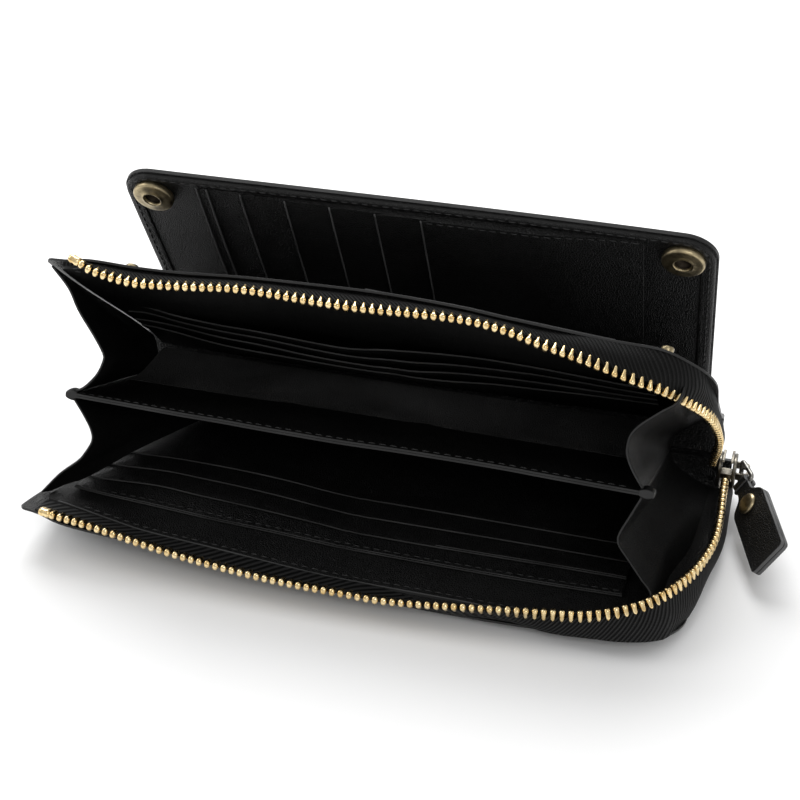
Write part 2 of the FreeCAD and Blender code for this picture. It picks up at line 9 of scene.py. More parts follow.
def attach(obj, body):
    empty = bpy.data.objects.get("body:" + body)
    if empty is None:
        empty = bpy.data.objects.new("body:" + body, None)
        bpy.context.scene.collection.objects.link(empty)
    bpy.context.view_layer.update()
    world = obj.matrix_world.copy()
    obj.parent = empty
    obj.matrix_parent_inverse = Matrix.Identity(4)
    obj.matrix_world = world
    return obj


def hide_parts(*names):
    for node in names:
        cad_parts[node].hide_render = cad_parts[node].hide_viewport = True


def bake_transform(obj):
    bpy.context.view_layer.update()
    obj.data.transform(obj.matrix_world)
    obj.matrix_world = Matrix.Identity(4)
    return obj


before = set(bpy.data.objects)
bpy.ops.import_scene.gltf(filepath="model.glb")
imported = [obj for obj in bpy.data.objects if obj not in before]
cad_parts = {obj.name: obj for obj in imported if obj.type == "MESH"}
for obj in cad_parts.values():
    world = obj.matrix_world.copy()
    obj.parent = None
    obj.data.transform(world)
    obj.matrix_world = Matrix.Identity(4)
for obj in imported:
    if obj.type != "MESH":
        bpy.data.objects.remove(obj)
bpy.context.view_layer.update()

MM = 0.001


# ---------------------------------------------------------------- shared sizes, in millimetres
SPINE_Y, SPINE_Z = 45.5, 12.0
DIVIDER, BACK, FLAP = 21.5, 43.0, 59.0
FLAP_OFFSET, FLAP_SHIFT = 15.0, -0.75
HALF_DEPTH = 10.6
PITCH = 2.4
TAPE_THICK, TAPE_STEP = 0.8, 1.2
X_AXIS, Y_AXIS, Z_AXIS = Vector((1, 0, 0)), Vector((0, 1, 0)), Vector((0, 0, 1))


def up_of(angle, sign=1):
    """Direction square to a leaf opened by an angle."""
    a = math.radians(angle)
    return Vector((0, math.sin(a), math.cos(a))) * sign


def turned(angle, x, s, h):
    """Point of a leaf opened by an angle: x along the wallet, s away from the spine, h off its middle."""
    a = math.radians(angle)
    return Vector((x, SPINE_Y - s * math.cos(a) + h * math.sin(a),
                   SPINE_Z + s * math.sin(a) + h * math.cos(a)))


def divider_at(x, s, h):
    return turned(DIVIDER, x, s, h)


def flap_at(x, s, h):
    """Point of the cover flap, which opens from a fold of its own behind the back half."""
    base = turned(BACK, FLAP_SHIFT, 0, FLAP_OFFSET)
    return base + turned(FLAP, x, s, h) - Vector((0, SPINE_Y, SPINE_Z))


def dress(obj, body, node=None):
    """Says which body a piece rides on and which CAD node it stands for."""
    if node:
        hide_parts(node)
    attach(obj, body)


def smooth(value):
    value = min(1.0, max(0.0, value))
    return value * value * (3 - 2 * value)


def bump(value, centre, width):
    """Smooth hump of height one."""
    return math.exp(-((value - centre) / width) ** 2)


def lifted(height, lift):
    """The same height over a leaf, raised by a steady amount."""
    return lambda x, s: height(x, s) + lift


def eased(knots, x):
    """Smooth curve through (position, value) knots."""
    if x <= knots[0][0]:
        return knots[0][1]
    for k in range(len(knots) - 1):
        (x0, v0), (x1, v1) = knots[k], knots[k + 1]
        if x <= x1:
            before = knots[k - 1] if k else (2 * x0 - x1, 2 * v0 - v1)
            after = knots[k + 2] if k + 2 < len(knots) else (2 * x1 - x0, 2 * v1 - v0)
            span = x1 - x0
            m0 = (v1 - before[1]) / (x1 - before[0]) * span
            m1 = (after[1] - v0) / (after[0] - x0) * span
            u = (x - x0) / span
            return ((2 * u ** 3 - 3 * u ** 2 + 1) * v0 + (u ** 3 - 2 * u ** 2 + u) * m0
                    + (3 * u ** 2 - 2 * u ** 3) * v1 + (u ** 3 - u ** 2) * m1)
    return knots[-1][1]


def spline(points, step):
    """Points evenly spaced along a smooth curve through the given ones."""
    pts = [Vector(p) for p in points]
    fine = []
    for k in range(len(pts) - 1):
        p0 = pts[k - 1] if k else 2 * pts[0] - pts[1]
        p3 = pts[k + 2] if k + 2 < len(pts) else 2 * pts[-1] - pts[-2]
        p1, p2 = pts[k], pts[k + 1]
        for j in range(24):
            u = j / 24
            fine.append(0.5 * (2 * p1 + (p2 - p0) * u + (2 * p0 - 5 * p1 + 4 * p2 - p3) * u ** 2
                               + (3 * p1 - p0 - 3 * p2 + p3) * u ** 3))
    fine.append(pts[-1])
    return resample(fine, step)


def resample(fine, step):
    made, left = [fine[0]], step
    for a, b in zip(fine, fine[1:]):
        length = (b - a).length
        while length >= left and length > 0:
            a = a + (b - a) * (left / length)
            made.append(a)
            length = (b - a).length
            left = step
        left -= length
    return made


# ---------------------------------------------------------------- materials
class Finish:
    """A procedural material being put together, on the object's own coordinates."""

    def __init__(self, name):
        self.mat = bpy.data.materials.new(name)
        self.mat.use_nodes = True
        self.tree = self.mat.node_tree
        self.shader = self.tree.nodes["Principled BSDF"]
        self.coords = self.node("TexCoord").outputs["Object"]

    def put(self, socket, value):
        """Feeds a socket from another node, or sets its own value."""
        if isinstance(value, bpy.types.NodeSocket):
            self.tree.links.new(value, socket)
        else:
            socket.default_value = value

    def node(self, kind, **settings):
        """New node. Settings that start with in_ are its sockets."""
        made = self.tree.nodes.new("ShaderNode" + kind)
        for name, value in settings.items():
            if name.startswith("in_"):
                self.put(made.inputs[name[3:].replace("_", " ")], value)
            else:
                setattr(made, name, value)
        return made

    def noise(self, scale, detail, output="Fac", **settings):
        return self.node("TexNoise", in_Vector=self.coords, in_Scale=scale, in_Detail=detail,
                         **settings).outputs[output]

    def ramp(self, factor, *stops):
        """Colour ramp of (position, colour or grey value) stops."""
        node = self.node("ValToRGB", in_Fac=factor)
        elements = node.color_ramp.elements
        while len(elements) < len(stops):
            elements.new(0.5)
        for element, (position, colour) in zip(elements, stops):
            element.position = position
            element.color = (*colour, 1) if isinstance(colour, tuple) else (colour, colour, colour, 1)
        return node.outputs["Color"]

    def bumps(self, *layers):
        """Bumps laid one over another, each (height, strength, distance in metres)."""
        below = None
        for height, strength, distance in layers:
            layer = self.node("Bump", in_Height=height, in_Strength=strength, in_Distance=distance)
            if below:
                self.put(layer.inputs["Normal"], below)
            below = layer.outputs["Normal"]
        self.put(self.shader.inputs["Normal"], below)

    def shade(self, colour, rough, gloss=0.5, metallic=0.0):
        for socket, value in (("Base Color", colour), ("Roughness", rough), ("Specular IOR Level", gloss),
                              ("Metallic", metallic)):
            self.put(self.shader.inputs[socket], value)
        return self.mat


def leather(name, dark, light, cell, depth, rough, gloss):
    """Grained leather: pebbled cells, fine pores, slow creases and cloudy gloss."""
    look = Finish(name)
    warped = look.node("VectorMath", operation="MULTIPLY_ADD")
    for socket, value in zip(warped.inputs, (look.noise(260.0, 3.0, "Color"), (0.0011,) * 3, look.coords)):
        look.put(socket, value)
    cells = look.node("TexVoronoi", feature="DISTANCE_TO_EDGE", in_Vector=warped.outputs["Vector"],
                      in_Scale=1000 / cell).outputs["Distance"]
    look.bumps((look.noise(2600.0, 4.0), 0.35, 0.00008),
               (look.noise(90.0, 4.0, in_Distortion=0.6), 0.35, 0.0007),
               (look.ramp(cells, (0.0, 0.0), (0.16, 0.75), (0.45, 1.0)), 0.9, depth * MM))
    clouds = look.noise(38.0, 5.0, in_Roughness=0.6)
    return look.shade(look.ramp(clouds, (0.3, dark), (0.75, light)),
                      look.ramp(clouds, (0.25, rough[0]), (0.8, rough[1])), gloss)


def painted_edge(name, value, rough=0.35, gloss=0.25):
    """Burnished, painted leather edge with faint fibres."""
    look = Finish(name)
    fibres = look.noise(900.0, 5.0)
    look.bumps((fibres, 0.4, 0.0001))
    return look.shade(look.ramp(look.noise(70.0, 3.0), (0.3, value * 0.6), (0.7, value * 1.3)),
                      look.ramp(fibres, (0.3, rough), (0.7, rough + 0.2)), gloss)


def twill(name, dark, light, coarse=False):
    """Woven zip tape on its own length and width: diagonal ribs, crossing threads and fuzz.
    A coarse tape has one broad rib to a tooth along its straight run."""
    look = Finish(name)
    weave = look.node("UVMap").outputs["UV"]

    def rib_set(turn, scale, wobble):
        slanted = look.node("Mapping", in_Vector=weave, in_Rotation=(0, 0, math.radians(turn)))
        return look.node("TexWave", in_Vector=slanted.outputs["Vector"], in_Scale=scale,
                         in_Distortion=wobble, in_Detail=1.0).outputs["Fac"]
    ribs = rib_set(32, 0.30, 0.25)
    if coarse:
        along = look.node("SeparateXYZ", in_Vector=weave).outputs["X"]
        corner = look.node("MapRange", in_Value=along, in_From_Min=118.0, in_From_Max=150.0)
        mixed = look.node("Mix", in_Factor=corner.outputs["Result"])
        look.put(mixed.inputs[2], rib_set(-38, 0.155, 0.2))
        look.put(mixed.inputs[3], ribs)
        ribs = mixed.outputs[0]
    look.bumps((ribs, 1.0, 0.00050), (rib_set(-48, 0.62, 0.5), 0.6, 0.00011),
               (look.noise(3200.0, 3.0), 0.4, 0.00006))
    # colour follows rib height: painted highlight on the rib tops and painted shade in the grooves
    return look.shade(look.ramp(ribs, (0.2, dark), (0.8, light)), 0.68, 0.13)


def metal(name, colour, shade, rough, scratch=0.0):
    """Plated brass: clouded tone, fine scratches, darker grime in the tone."""
    look = Finish(name)
    lines = look.noise(1500.0, 2.0, in_Distortion=1.5)
    look.bumps((lines, 0.15 + scratch, 0.00005))
    return look.shade(look.ramp(look.noise(420.0, 4.0), (0.3, shade), (0.62, colour)),
                      look.ramp(lines, (0.3, rough), (0.75, rough + 0.16)), metallic=1.0)


def thread_material(name, value):
    """Twisted sewing thread."""
    look = Finish(name)
    twist = look.node("TexWave", in_Vector=look.coords, in_Scale=1400.0, in_Distortion=0.6).outputs["Fac"]
    look.bumps((twist, 0.6, 0.00008))
    return look.shade(look.ramp(twist, (0.2, value * 0.5), (0.8, value)), 0.5)


OUTER = leather("outer_leather", 0.0060, 0.0105, 0.95, 0.26, (0.34, 0.50), 0.36)
LINING = leather("lining_leather", 0.0035, 0.0062, 0.7, 0.18, (0.36, 0.52), 0.26)
POCKET = leather("pocket_leather", 0.0038, 0.0068, 0.75, 0.20, (0.34, 0.50), 0.28)
GUSSET = leather("gusset_leather", 0.0028, 0.0050, 0.65, 0.16, (0.42, 0.60), 0.10)
# rough suede: partly its own lighter tone, partly painted light for the dim rear pouch floor
SUEDE_PAINTED_LIGHT = leather("suede_lining_painted_light", 0.0250, 0.0620, 0.6, 0.30, (0.60, 0.80), 0.25)
PULL = leather("pull_leather", 0.0060, 0.0105, 0.8, 0.14, (0.36, 0.52), 0.30)
EDGE = painted_edge("edge_paint", 0.015, gloss=0.30)
# light edge colour of linings and card rows: edge paint plus a painted highlight along their folds
FINE_EDGE_AND_HIGHLIGHT = painted_edge("fine_edge_and_highlight", 0.045, rough=0.34)
RIM_EDGE = painted_edge("rim_edge", 0.022, rough=0.40)
# much lighter edge colour for the flap's card plies: edge paint plus a painted highlight on their left edges
CARD_EDGE_AND_HIGHLIGHT = painted_edge("card_edge_and_highlight", 0.075, rough=0.36)
RAW_EDGE = painted_edge("raw_edge", 0.10, rough=0.5)
TWILL = twill("zip_twill", 0.0018, 0.0100)
# front zip tape, far lighter than the back one: painted light on its ribs, which lie in shade
RIBBED_PAINTED_LIGHT = twill("ribbed_twill_painted_light", 0.0012, 0.0260, coarse=True)
GOLD = metal("zip_gold", (0.93, 0.74, 0.42), (0.66, 0.45, 0.18), 0.17)
SLIDER = metal("slider_metal", (0.24, 0.22, 0.18), (0.09, 0.08, 0.07), 0.26)
ANTIQUE = metal("antique_brass", (0.46, 0.38, 0.23), (0.17, 0.14, 0.09), 0.30, scratch=0.2)
DARK_METAL = metal("dark_link_metal", (0.30, 0.29, 0.27), (0.10, 0.10, 0.09), 0.26, scratch=0.2)
THREAD = thread_material("black_thread", 0.009)
# near-black metal for the hollow inside the snap sockets: painted shade in the recess
SOCKET_RECESS_SHADE = metal("socket_recess_painted_shade", (0.05, 0.04, 0.03), (0.02, 0.016, 0.012), 0.5)


# ---------------------------------------------------------------- mesh builders
def shown(name, mesh):
    """Puts a mesh into the scene as a piece of its own."""
    obj = bpy.data.objects.new(name, mesh)
    bpy.context.scene.collection.objects.link(obj)
    return obj


def piece(name, verts, faces, mats, slots=None):
    mesh = bpy.data.meshes.new(name)
    mesh.from_pydata([tuple(Vector(v) * MM) for v in verts], [], faces)
    for mat in mats:
        mesh.materials.append(mat)
    if slots is not None:
        mesh.polygons.foreach_set("material_index", slots)
    bm = bmesh.new()
    bm.from_mesh(mesh)
    bmesh.ops.recalc_face_normals(bm, faces=bm.faces)
    bm.to_mesh(mesh)
    bm.free()
    mesh.polygons.foreach_set("use_smooth", [True] * len(mesh.polygons))
    return shown(name, mesh)


def rounded(obj, width, segments=3, angle=38):
    bevel = obj.modifiers.new("round", "BEVEL")
    bevel.width = width * MM
    bevel.segments = segments
    bevel.limit_method = "ANGLE"
    bevel.angle_limit = math.radians(angle)
    bevel.harden_normals = True
    return obj


def slab(name, top, bottom, mats, edge=0.3, rims=(1, 1, 1, 1)):
    """Closed sheet between two grids of points. rims gives the material of its four sides."""
    rows, cols = len(top), len(top[0])
    verts = [p for line in top for p in line] + [p for line in bottom for p in line]
    base = rows * cols
    faces, slots = [], []
    for i in range(rows - 1):
        for j in range(cols - 1):
            a, b, c, d = i * cols + j, (i + 1) * cols + j, (i + 1) * cols + j + 1, i * cols + j + 1
            faces += [(a, b, c, d), (base + d, base + c, base + b, base + a)]
            slots += [0, 0]
    sides = ([(j, j + 1) for j in range(cols - 1)],
             [((rows - 1) * cols + j + 1, (rows - 1) * cols + j) for j in range(cols - 1)],
             [((i + 1) * cols, i * cols) for i in range(rows - 1)],
             [(i * cols + cols - 1, (i + 1) * cols + cols - 1) for i in range(rows - 1)])
    for side, rim in zip(sides, rims):
        for a, b in side:
            faces.append((a, b, base + b, base + a))
            slots.append(rim)
    obj = piece(name, verts, faces, mats, slots)
    if edge:
        rounded(obj, edge)
    return obj


def columns(left, right, corner_left, corner_right, step=2.0):
    """Positions along a panel, closer together where its corners turn."""
    marks = []
    for k in range(13):
        marks.append(left + corner_left * (1 - math.cos(math.pi / 2 * k / 12)))
        marks.append(right - corner_right * (1 - math.cos(math.pi / 2 * k / 12)))
    low, high = left + corner_left, right - corner_right
    count = max(2, int((high - low) / step))
    marks += [low + (high - low) * k / count for k in range(count + 1)]
    marks.sort()
    kept = [marks[0]]
    for mark in marks[1:]:
        if mark - kept[-1] > 0.05:
            kept.append(mark)
    return kept


def corner_reach(x, left, right, far, corner_left, corner_right):
    """How far from the spine a panel with two round corners reaches at x."""
    for centre, radius, sign in ((left + corner_left, corner_left, -1),
                                 (right - corner_right, corner_right, 1)):
        out = (x - centre) * sign
        if out > 0:
            return far - radius + math.sqrt(max(0.0, radius ** 2 - out ** 2))
    return far


def panel(name, place, xs, near, reach, top, bottom, mats, rows=34, edge=0.3, rims=(1, 1, 1, 1)):
    """Leaf panel: place(x, s, h), from near to reach(x), between heights top(x, s) and bottom(x, s)."""
    upper, lower = [], []
    for x in xs:
        far = reach(x)
        line = [near + (far - near) * (1 - (1 - k / rows) ** 1.15) for k in range(rows + 1)]
        upper.append([place(x, s, top(x, s)) for s in line])
        lower.append([place(x, s, bottom(x, s)) for s in line])
    return slab(name, upper, lower, mats, edge, (rims[2], rims[3], rims[0], rims[1]))


def tube_faces(rings, count, closed):
    faces = []
    for i in range(rings if closed else rings - 1):
        for j in range(count):
            a, b = i * count + j, i * count + (j + 1) % count
            c, d = ((i + 1) % rings) * count + (j + 1) % count, ((i + 1) % rings) * count + j
            faces.append((a, b, c, d))
    if not closed:
        faces.append(tuple(range(count))[::-1])
        faces.append(tuple((rings - 1) * count + j for j in range(count)))
    return faces


def ring(centre, across, along, wide, deep, count, power=2.0, shift=0.0):
    """Points round an ellipse or, with a power above 2, round a rounded rectangle."""
    made = []
    for j in range(count):
        turn = 2 * math.pi * (j + shift) / count
        c, s = math.cos(turn), math.sin(turn)
        size = (abs(c) ** power + abs(s) ** power) ** (-1 / power)
        made.append(centre + across * (c * size * wide) + along * (s * size * deep))
    return made


def add_tube(verts, faces, rings, closed=False):
    """Adds a skin through rings of points, with flat ends where it isn't closed."""
    base = len(verts)
    for points in rings:
        verts += points
    faces += [tuple(base + v for v in face) for face in tube_faces(len(rings), len(rings[0]), closed)]


def sweep(name, path, radius, mats, count=14, closed=False):
    """Round wire along a path."""
    verts, faces, rings = [], [], []
    side = None
    for i, point in enumerate(path):
        ahead = path[(i + 1) % len(path)] if closed or i < len(path) - 1 else point
        behind = path[i - 1] if closed or i else point
        tangent = (ahead - behind).normalized()
        if side is None:
            side = tangent.orthogonal().normalized()
        side = (side - tangent * side.dot(tangent)).normalized()
        rings.append(ring(point, side, tangent.cross(side), radius, radius, count))
    add_tube(verts, faces, rings, closed)
    return piece(name, verts, faces, mats)


def lathe(name, profile, frames, mats, ring_slots=None, count=56):
    """Round part: profile of (radius, height), placed in each frame (centre, axis, across)."""
    verts, faces, slots = [], [], []
    ring_slots = ring_slots or [0] * len(profile)
    for centre, axis, across in frames:
        along = axis.cross(across).normalized()
        add_tube(verts, faces, [ring(centre + axis * height, across, along, radius, radius, count)
                                for radius, height in profile])
        for slot in ring_slots[:len(profile) - 1]:
            slots += [slot] * count
        slots += [0, ring_slots[-1]]
    return piece(name, verts, faces, mats, slots)


STITCH_SHAPE = [(-1.0, 0.15), (-0.85, 0.62), (-0.5, 0.95), (0.0, 1.0), (0.5, 0.95), (0.85, 0.62),
                (1.0, 0.15)]


def stitches(name, runs, length=2.1, gap=0.9, radius=0.24):
    """Lock stitches: each a short plump thread that dips at both ends. runs are (points, up) pairs."""
    verts, faces = [], []
    for line, up in runs:
        marks = resample(line, (length + gap) / 2)
        for k in range(1, len(marks) - 1, 2):
            along = (marks[k + 1] - marks[k - 1]).normalized()
            along = (along - up * along.dot(up)).normalized()
            add_tube(verts, faces, [
                ring(marks[k] + along * (at * length / 2) + up * (radius * (0.55 * wide - 0.35)),
                     up.cross(along), up, radius * wide, radius * wide, 6) for at, wide in STITCH_SHAPE])
    return piece(name, verts, faces, [THREAD])


def run(place, xs, reach, inset, height):
    """Line on a leaf at a steady distance inside its free edge."""
    return [place(x, reach(x) - inset, height(x, reach(x) - inset)) for x in xs]


def card_row(node, place, body, xs, near, reach, low, thick, rim, edge, rims=(1, 1, 1, 1)):
    """One card row: a ply from the height low(x, s) up, with the given thickness."""
    row = panel(node + "_leather", place, xs, near, reach, lambda x, s: low(x, s) + thick(x), low,
                [POCKET, rim], edge=edge, rims=rims)
    dress(row, body, node)


# ---------------------------------------------------------------- how the leaves really hang
LEFT, RIGHT, FAR = -96.6, 95.5, 91.0
ZIP_CORNER = 20.0

# rise of the front half off the table: (distance from the spine, (position along, rise) ...)
FRONT_RISE = (
    (0, ((-96, 0), (96, 0))),
    (45, ((-96, 3.0), (-80, 2.9), (-67, 3.4), (-55, 3.4), (-42, 3.0), (-29, 2.0), (-20, 0.9), (-8, 0.1),
          (96, 0))),
    (61, ((-96, 4.4), (-85, 3.8), (-67, 4.4), (-55, 3.5), (-43, 2.8), (-30, 2.0), (-17, 1.0), (-5, 0.1),
          (96, 0.3))),
    (69, ((-96, 7.0), (-90, 5.4), (-80, 4.3), (-69, 3.6), (-57, 2.7), (-45, 1.8), (-33, 1.3), (-20, 0.6),
          (-5, 0), (50, 0), (96, 0.8))),
    (82.4, ((-96, 10.6), (-85, 8.8), (-75.6, 7.0), (-64, 4.9), (-53, 3.9), (-41, 3.0), (-28, 1.9),
            (-16, 0.9), (-4, 0.3), (30, 0.2), (60, 1.0), (75, 2.0), (96, 2.8))),
    (91, ((-97, 12.6), (-91, 11.8), (-85, 9.6), (-75, 8.4), (-64, 7.7), (-52, 6.9), (-40, 5.6), (-20, 3.6),
          (0, 2.6), (20, 2.4), (45, 2.8), (60, 3.6), (75, 4.6), (96, 5.0))),
)


def front_lift(x, s):
    """How far the front half's floor rises off the table: its left end curls up, its zip edge a little."""
    return max(0.0, eased([(depth, eased(line, x)) for depth, line in FRONT_RISE], s))


def drawn_in(x, s):
    """The zip pulls the right-hand end inwards, away from the spine."""
    return 3.8 * smooth((x - 50) / 44) * smooth((s - 34) / 24)


def front_at(x, s, h):
    return turned(0, x - drawn_in(x, s), s, h)


def back_at(x, s, h):
    return turned(BACK, x - 4.4 * smooth((x - 50) / 44), s, h)


def front_reach(x):
    return corner_reach(x, LEFT, RIGHT, FAR - 1.2 * bump(x, -5, 50), 2.0, ZIP_CORNER)


BACK_RISE = [(-97, -4.6), (-90, -4.4), (-84, -3.4), (-70, -3.6), (-57, -3.3), (-40, -2.1), (-22, -1.4),
             (0, -1.0), (22, -1.8), (33, -2.8), (44, -3.6), (55, -4.4), (65, -5.0), (80, -5.4), (87, -6.6),
             (96, -8.4)]


def back_rise(x, s):
    """How far the back half leaves its flat plane: it bows up in the middle and droops at its ends."""
    curl = 3.5 * smooth((x - 78) / 17) * smooth((84 - s) / 30) * smooth(s / 30)
    return smooth(s / 90) * eased(BACK_RISE, x) - curl


def back_reach(x):
    return corner_reach(x, LEFT, RIGHT, FAR, 3.0, ZIP_CORNER)


FRONT_CHAIN = [(-85.5, 91.5, 13.7), (-72.5, 93, 13), (-57, 94, 11), (-42, 95, 9.7), (-20, 95.5, 8.2),
               (1.5, 95.3, 7.7), (15.5, 94.8, 7.5), (42.5, 92.8, 9.3), (62, 90.7, 10.2), (69, 89.5, 11),
               (75, 87.5, 12), (81, 83.3, 12.6), (86.5, 75.8, 12.8), (91.7, 63.6, 12.5), (95, 48, 12),
               (95.3, 33, 11.5), (94.7, 20, 11.2), (94.5, 8, 10.4)]
BACK_CHAIN = [(-84.5, 92, 5.8), (-80.5, 92, 4.5), (-72, 92, 3.2), (-65, 92, 3), (-51, 92, 4.2),
              (-37, 92, 5.4), (-8, 92, 4.9), (19, 92, 5.8), (33, 92, 4.9), (46.5, 92, 2), (60, 92, -0.7),
              (67, 91.3, -2), (73.5, 90, -3.1), (80, 87.3, -3.6), (86, 82, -3.9), (90, 76, -4),
              (93, 69.5, -4), (95, 61, -4), (96.4, 47, -4), (96.3, 32, -4.1), (95, 18, -4.3),
              (94.5, 9.5, -4.7)]


def front_floor(x, s):
    """Top of the front leather, as a height in the leaf."""
    return front_lift(x, s) - HALF_DEPTH


def back_ceiling(x, s):
    """Inner face of the back leather, as a height in the leaf."""
    return HALF_DEPTH + back_rise(x, s)


# ---------------------------------------------------------------- outer leather of the two halves
def shell(name, inner, reach, place, inward, node, body):
    """Outer leather that turns up along the spine in a soft bend. inward is the side facing the pouch."""
    top, bottom = [], []
    bend, thick, thinner, low_end = 3.2, 1.4, 0.7, 0.4
    start = 0.1 + thick + bend
    for x in columns(LEFT, RIGHT, 2.0, ZIP_CORNER):
        far = reach(x)
        turn_h = inner(x, 0) + inward * bend
        upper, lower = [], []
        for k in range(6):
            h = -inward * low_end + (turn_h + inward * low_end) * k / 6
            upper.append(place(x, 0.1 + thick, h))
            lower.append(place(x, 0.1, h))
        for k in range(9):
            a = math.pi / 2 * k / 9
            for line, radius in ((upper, bend), (lower, bend + thick)):
                line.append(place(x, start - radius * math.cos(a), turn_h - inward * radius * math.sin(a)))
        for k in range(37):
            s = start + (far - start) * k / 36
            upper.append(place(x, s, inner(x, s)))
            lower.append(place(x, s, inner(x, s) - inward * (thick - thinner * smooth((s - far + 5) / 5))))
        top.append(upper)
        bottom.append(lower)
    dress(slab(name, top, bottom, [OUTER, EDGE], 0.4), body, node)


shell("front_leather", front_floor, front_reach, front_at, 1, "front_cover", "front_half")
shell("back_leather", back_ceiling, back_reach, back_at, -1, "back_cover", "back_half")


# ---------------------------------------------------------------- linings and pockets
LINING_SIDE, LINING_CORNER = 93.0, 20.0
LINING_GAP, LINING_THICK = 0.08, 0.92
FOLD_H = 0.85


def front_lining_reach(x):
    edge = eased([(-93, 81.8), (-60, 82.4), (0, 82.4), (30, 82.6), (60, 84.5), (80, 86.0)], x)
    return min(edge, corner_reach(x, -LINING_SIDE, LINING_SIDE, 86.5, 9.0, LINING_CORNER))


def back_lining_reach(x):
    return corner_reach(x, -LINING_SIDE, LINING_SIDE, 88.0, 3.0, LINING_CORNER)


def lining(half, place, reach, inner, inward):
    """Lining of one half, with the rolled bead along its folded edge; bead and rims take the light fine edge
    colour, partly edge paint and partly a painted highlight of the fold.
    """
    xs = columns(-LINING_SIDE, LINING_SIDE, 3.0, LINING_CORNER)
    skin = panel(half + "_lining_skin", place, xs, 3.4, reach,
                 lifted(inner, inward * (LINING_GAP + LINING_THICK)), lifted(inner, inward * LINING_GAP),
                 [LINING, FINE_EDGE_AND_HIGHLIGHT])
    dress(skin, half + "_half", half + "_lining")
    bead = run(place, np.linspace(-89, 74, 130), reach, 0.15, lifted(inner, inward * FOLD_H))
    dress(sweep(half + "_lining_fold", bead, 0.27, [FINE_EDGE_AND_HIGHLIGHT], 8), half + "_half")


lining("front", front_at, front_lining_reach, front_floor, 1)
lining("back", back_at, back_lining_reach, back_ceiling, -1)

SEAM_X = -7.0
ROW_THICK, ROW_STEP, ROW_BASE = 0.5, 0.6, 1.05


def pocket_edge(far, phase):
    """Free edge of a card row, a touch wavy, with a small nick where the middle seam crosses it."""
    def reach(x):
        return far - 0.7 * bump(x, SEAM_X, 1.8) + 0.25 * math.sin(x * 0.055 + phase)
    return reach


def seam_run(place, far, length, count, height):
    """The short run of the middle seam that shows on a card row."""
    return [place(SEAM_X, s, height(SEAM_X, s)) for s in np.linspace(far - length, far - 1.2, count)]


pocket_xs = columns(-90.0, 75.5, 1.0, 1.0, step=1.6)
front_thread = []
front_rows = (("front_slip_pocket", 68.8), ("front_card_row_3", 61.0), ("front_card_row_2", 53.1),
              ("front_card_row_1", 45.2))
for number, (node, far) in enumerate(front_rows):
    reach = pocket_edge(far, number * 1.3)

    def face(x, s):
        puff = 0.45 * smooth((s - reach(x) + 8) / 8) * (1 - 0.9 * bump(x, SEAM_X, 2.6))
        return front_floor(x, s) + ROW_BASE + number * ROW_STEP + ROW_THICK + puff
    card_row(node, front_at, "front_half", pocket_xs, 6.0, reach, lifted(face, -ROW_THICK),
             lambda x: ROW_THICK, FINE_EDGE_AND_HIGHLIGHT, 0.16)
    if number < 2:
        hem_xs = np.linspace(18.0 if number else -90.0, 75.4, 91)
        sides = [[run(front_at, hem_xs, reach, 0.35 + 0.95 * k / 3, lifted(face, h)) for k in range(4)]
                 for h in (0.30, -0.05)]
        dress(slab(node + "_hem", *sides, [POCKET, FINE_EDGE_AND_HIGHLIGHT], 0.12), "front_half")
    front_thread.append((seam_run(front_at, far, 7.0, 8, face) if number else
                         run(front_at, np.linspace(-89, 75, 120), reach, 2.2, face), up_of(0)))
front_thread.append((run(front_at, np.linspace(-82, 74, 130), front_lining_reach, 2.0,
                         lifted(front_floor, 1.0)), up_of(0)))
dress(stitches("front_stitching", front_thread), "front_half")

# rows under the back half: name, how far they reach, and how their loose edge sags along the wallet
back_rows = (("back_card_row_1", 46.6, ((-92, -0.9), (-83, -0.9), (-73, 0.2), (-60, 1.2), (-48, 1.9),
                                        (-30, 3.3), (-18, 3.8), (-10, 3.2), (2, 2.0), (15, 1.0), (27, 0.4),
                                        (38, 0.1), (76, 0.4))),
             ("back_card_row_2", 40.1, ((-92, -1.1), (-85, -1.1), (-73, 0.2), (-60, 1.2), (-48, 1.9),
                                        (-30, 3.4), (-17, 3.9), (0, 3.1), (13, 1.8), (26, 1.0), (38, 0.3),
                                        (76, 0.3))),
             ("back_card_row_3", 33.7, ((-92, -0.9), (-75, 0.0), (-62, 1.3), (-50, 2.0), (-32, 3.5),
                                        (-14, 4.0), (0, 3.6), (12, 2.2), (25, 1.3), (38, 0.7), (76, -0.1))),
             ("back_card_row_4", 27.2, ((-92, -1.3), (-77, 0.2), (-65, 1.6), (-53, 2.4), (-34, 3.1),
                                        (-20, 3.4), (5, 3.2), (24, 1.6), (37, 0.9), (55, 0.0), (76, -0.5))))
back_thread = []
for number, (node, far, sag) in enumerate(back_rows):
    reach = pocket_edge(far, number * 0.9 + 2.0)

    def face(x, s):
        puff = 0.4 * smooth((s - reach(x) + 8) / 8) * (1 - 0.8 * bump(x, SEAM_X, 3.0))
        droop = puff + eased(sag, x) * smooth(s / far)
        return back_ceiling(x, s) - ROW_BASE - number * ROW_STEP - ROW_THICK - droop
    card_row(node, back_at, "back_half", pocket_xs, 6.0, reach, face, lambda x: ROW_THICK, FINE_EDGE_AND_HIGHLIGHT, 0.16)
    back_thread.append((seam_run(back_at, far, 5.5, 7, face), up_of(BACK, -1)))
back_thread.append((run(back_at, np.linspace(-90, 74, 130), back_lining_reach, 2.6,
                        lifted(back_ceiling, -1.0)), up_of(BACK, -1)))
dress(stitches("back_stitching", back_thread), "back_half")


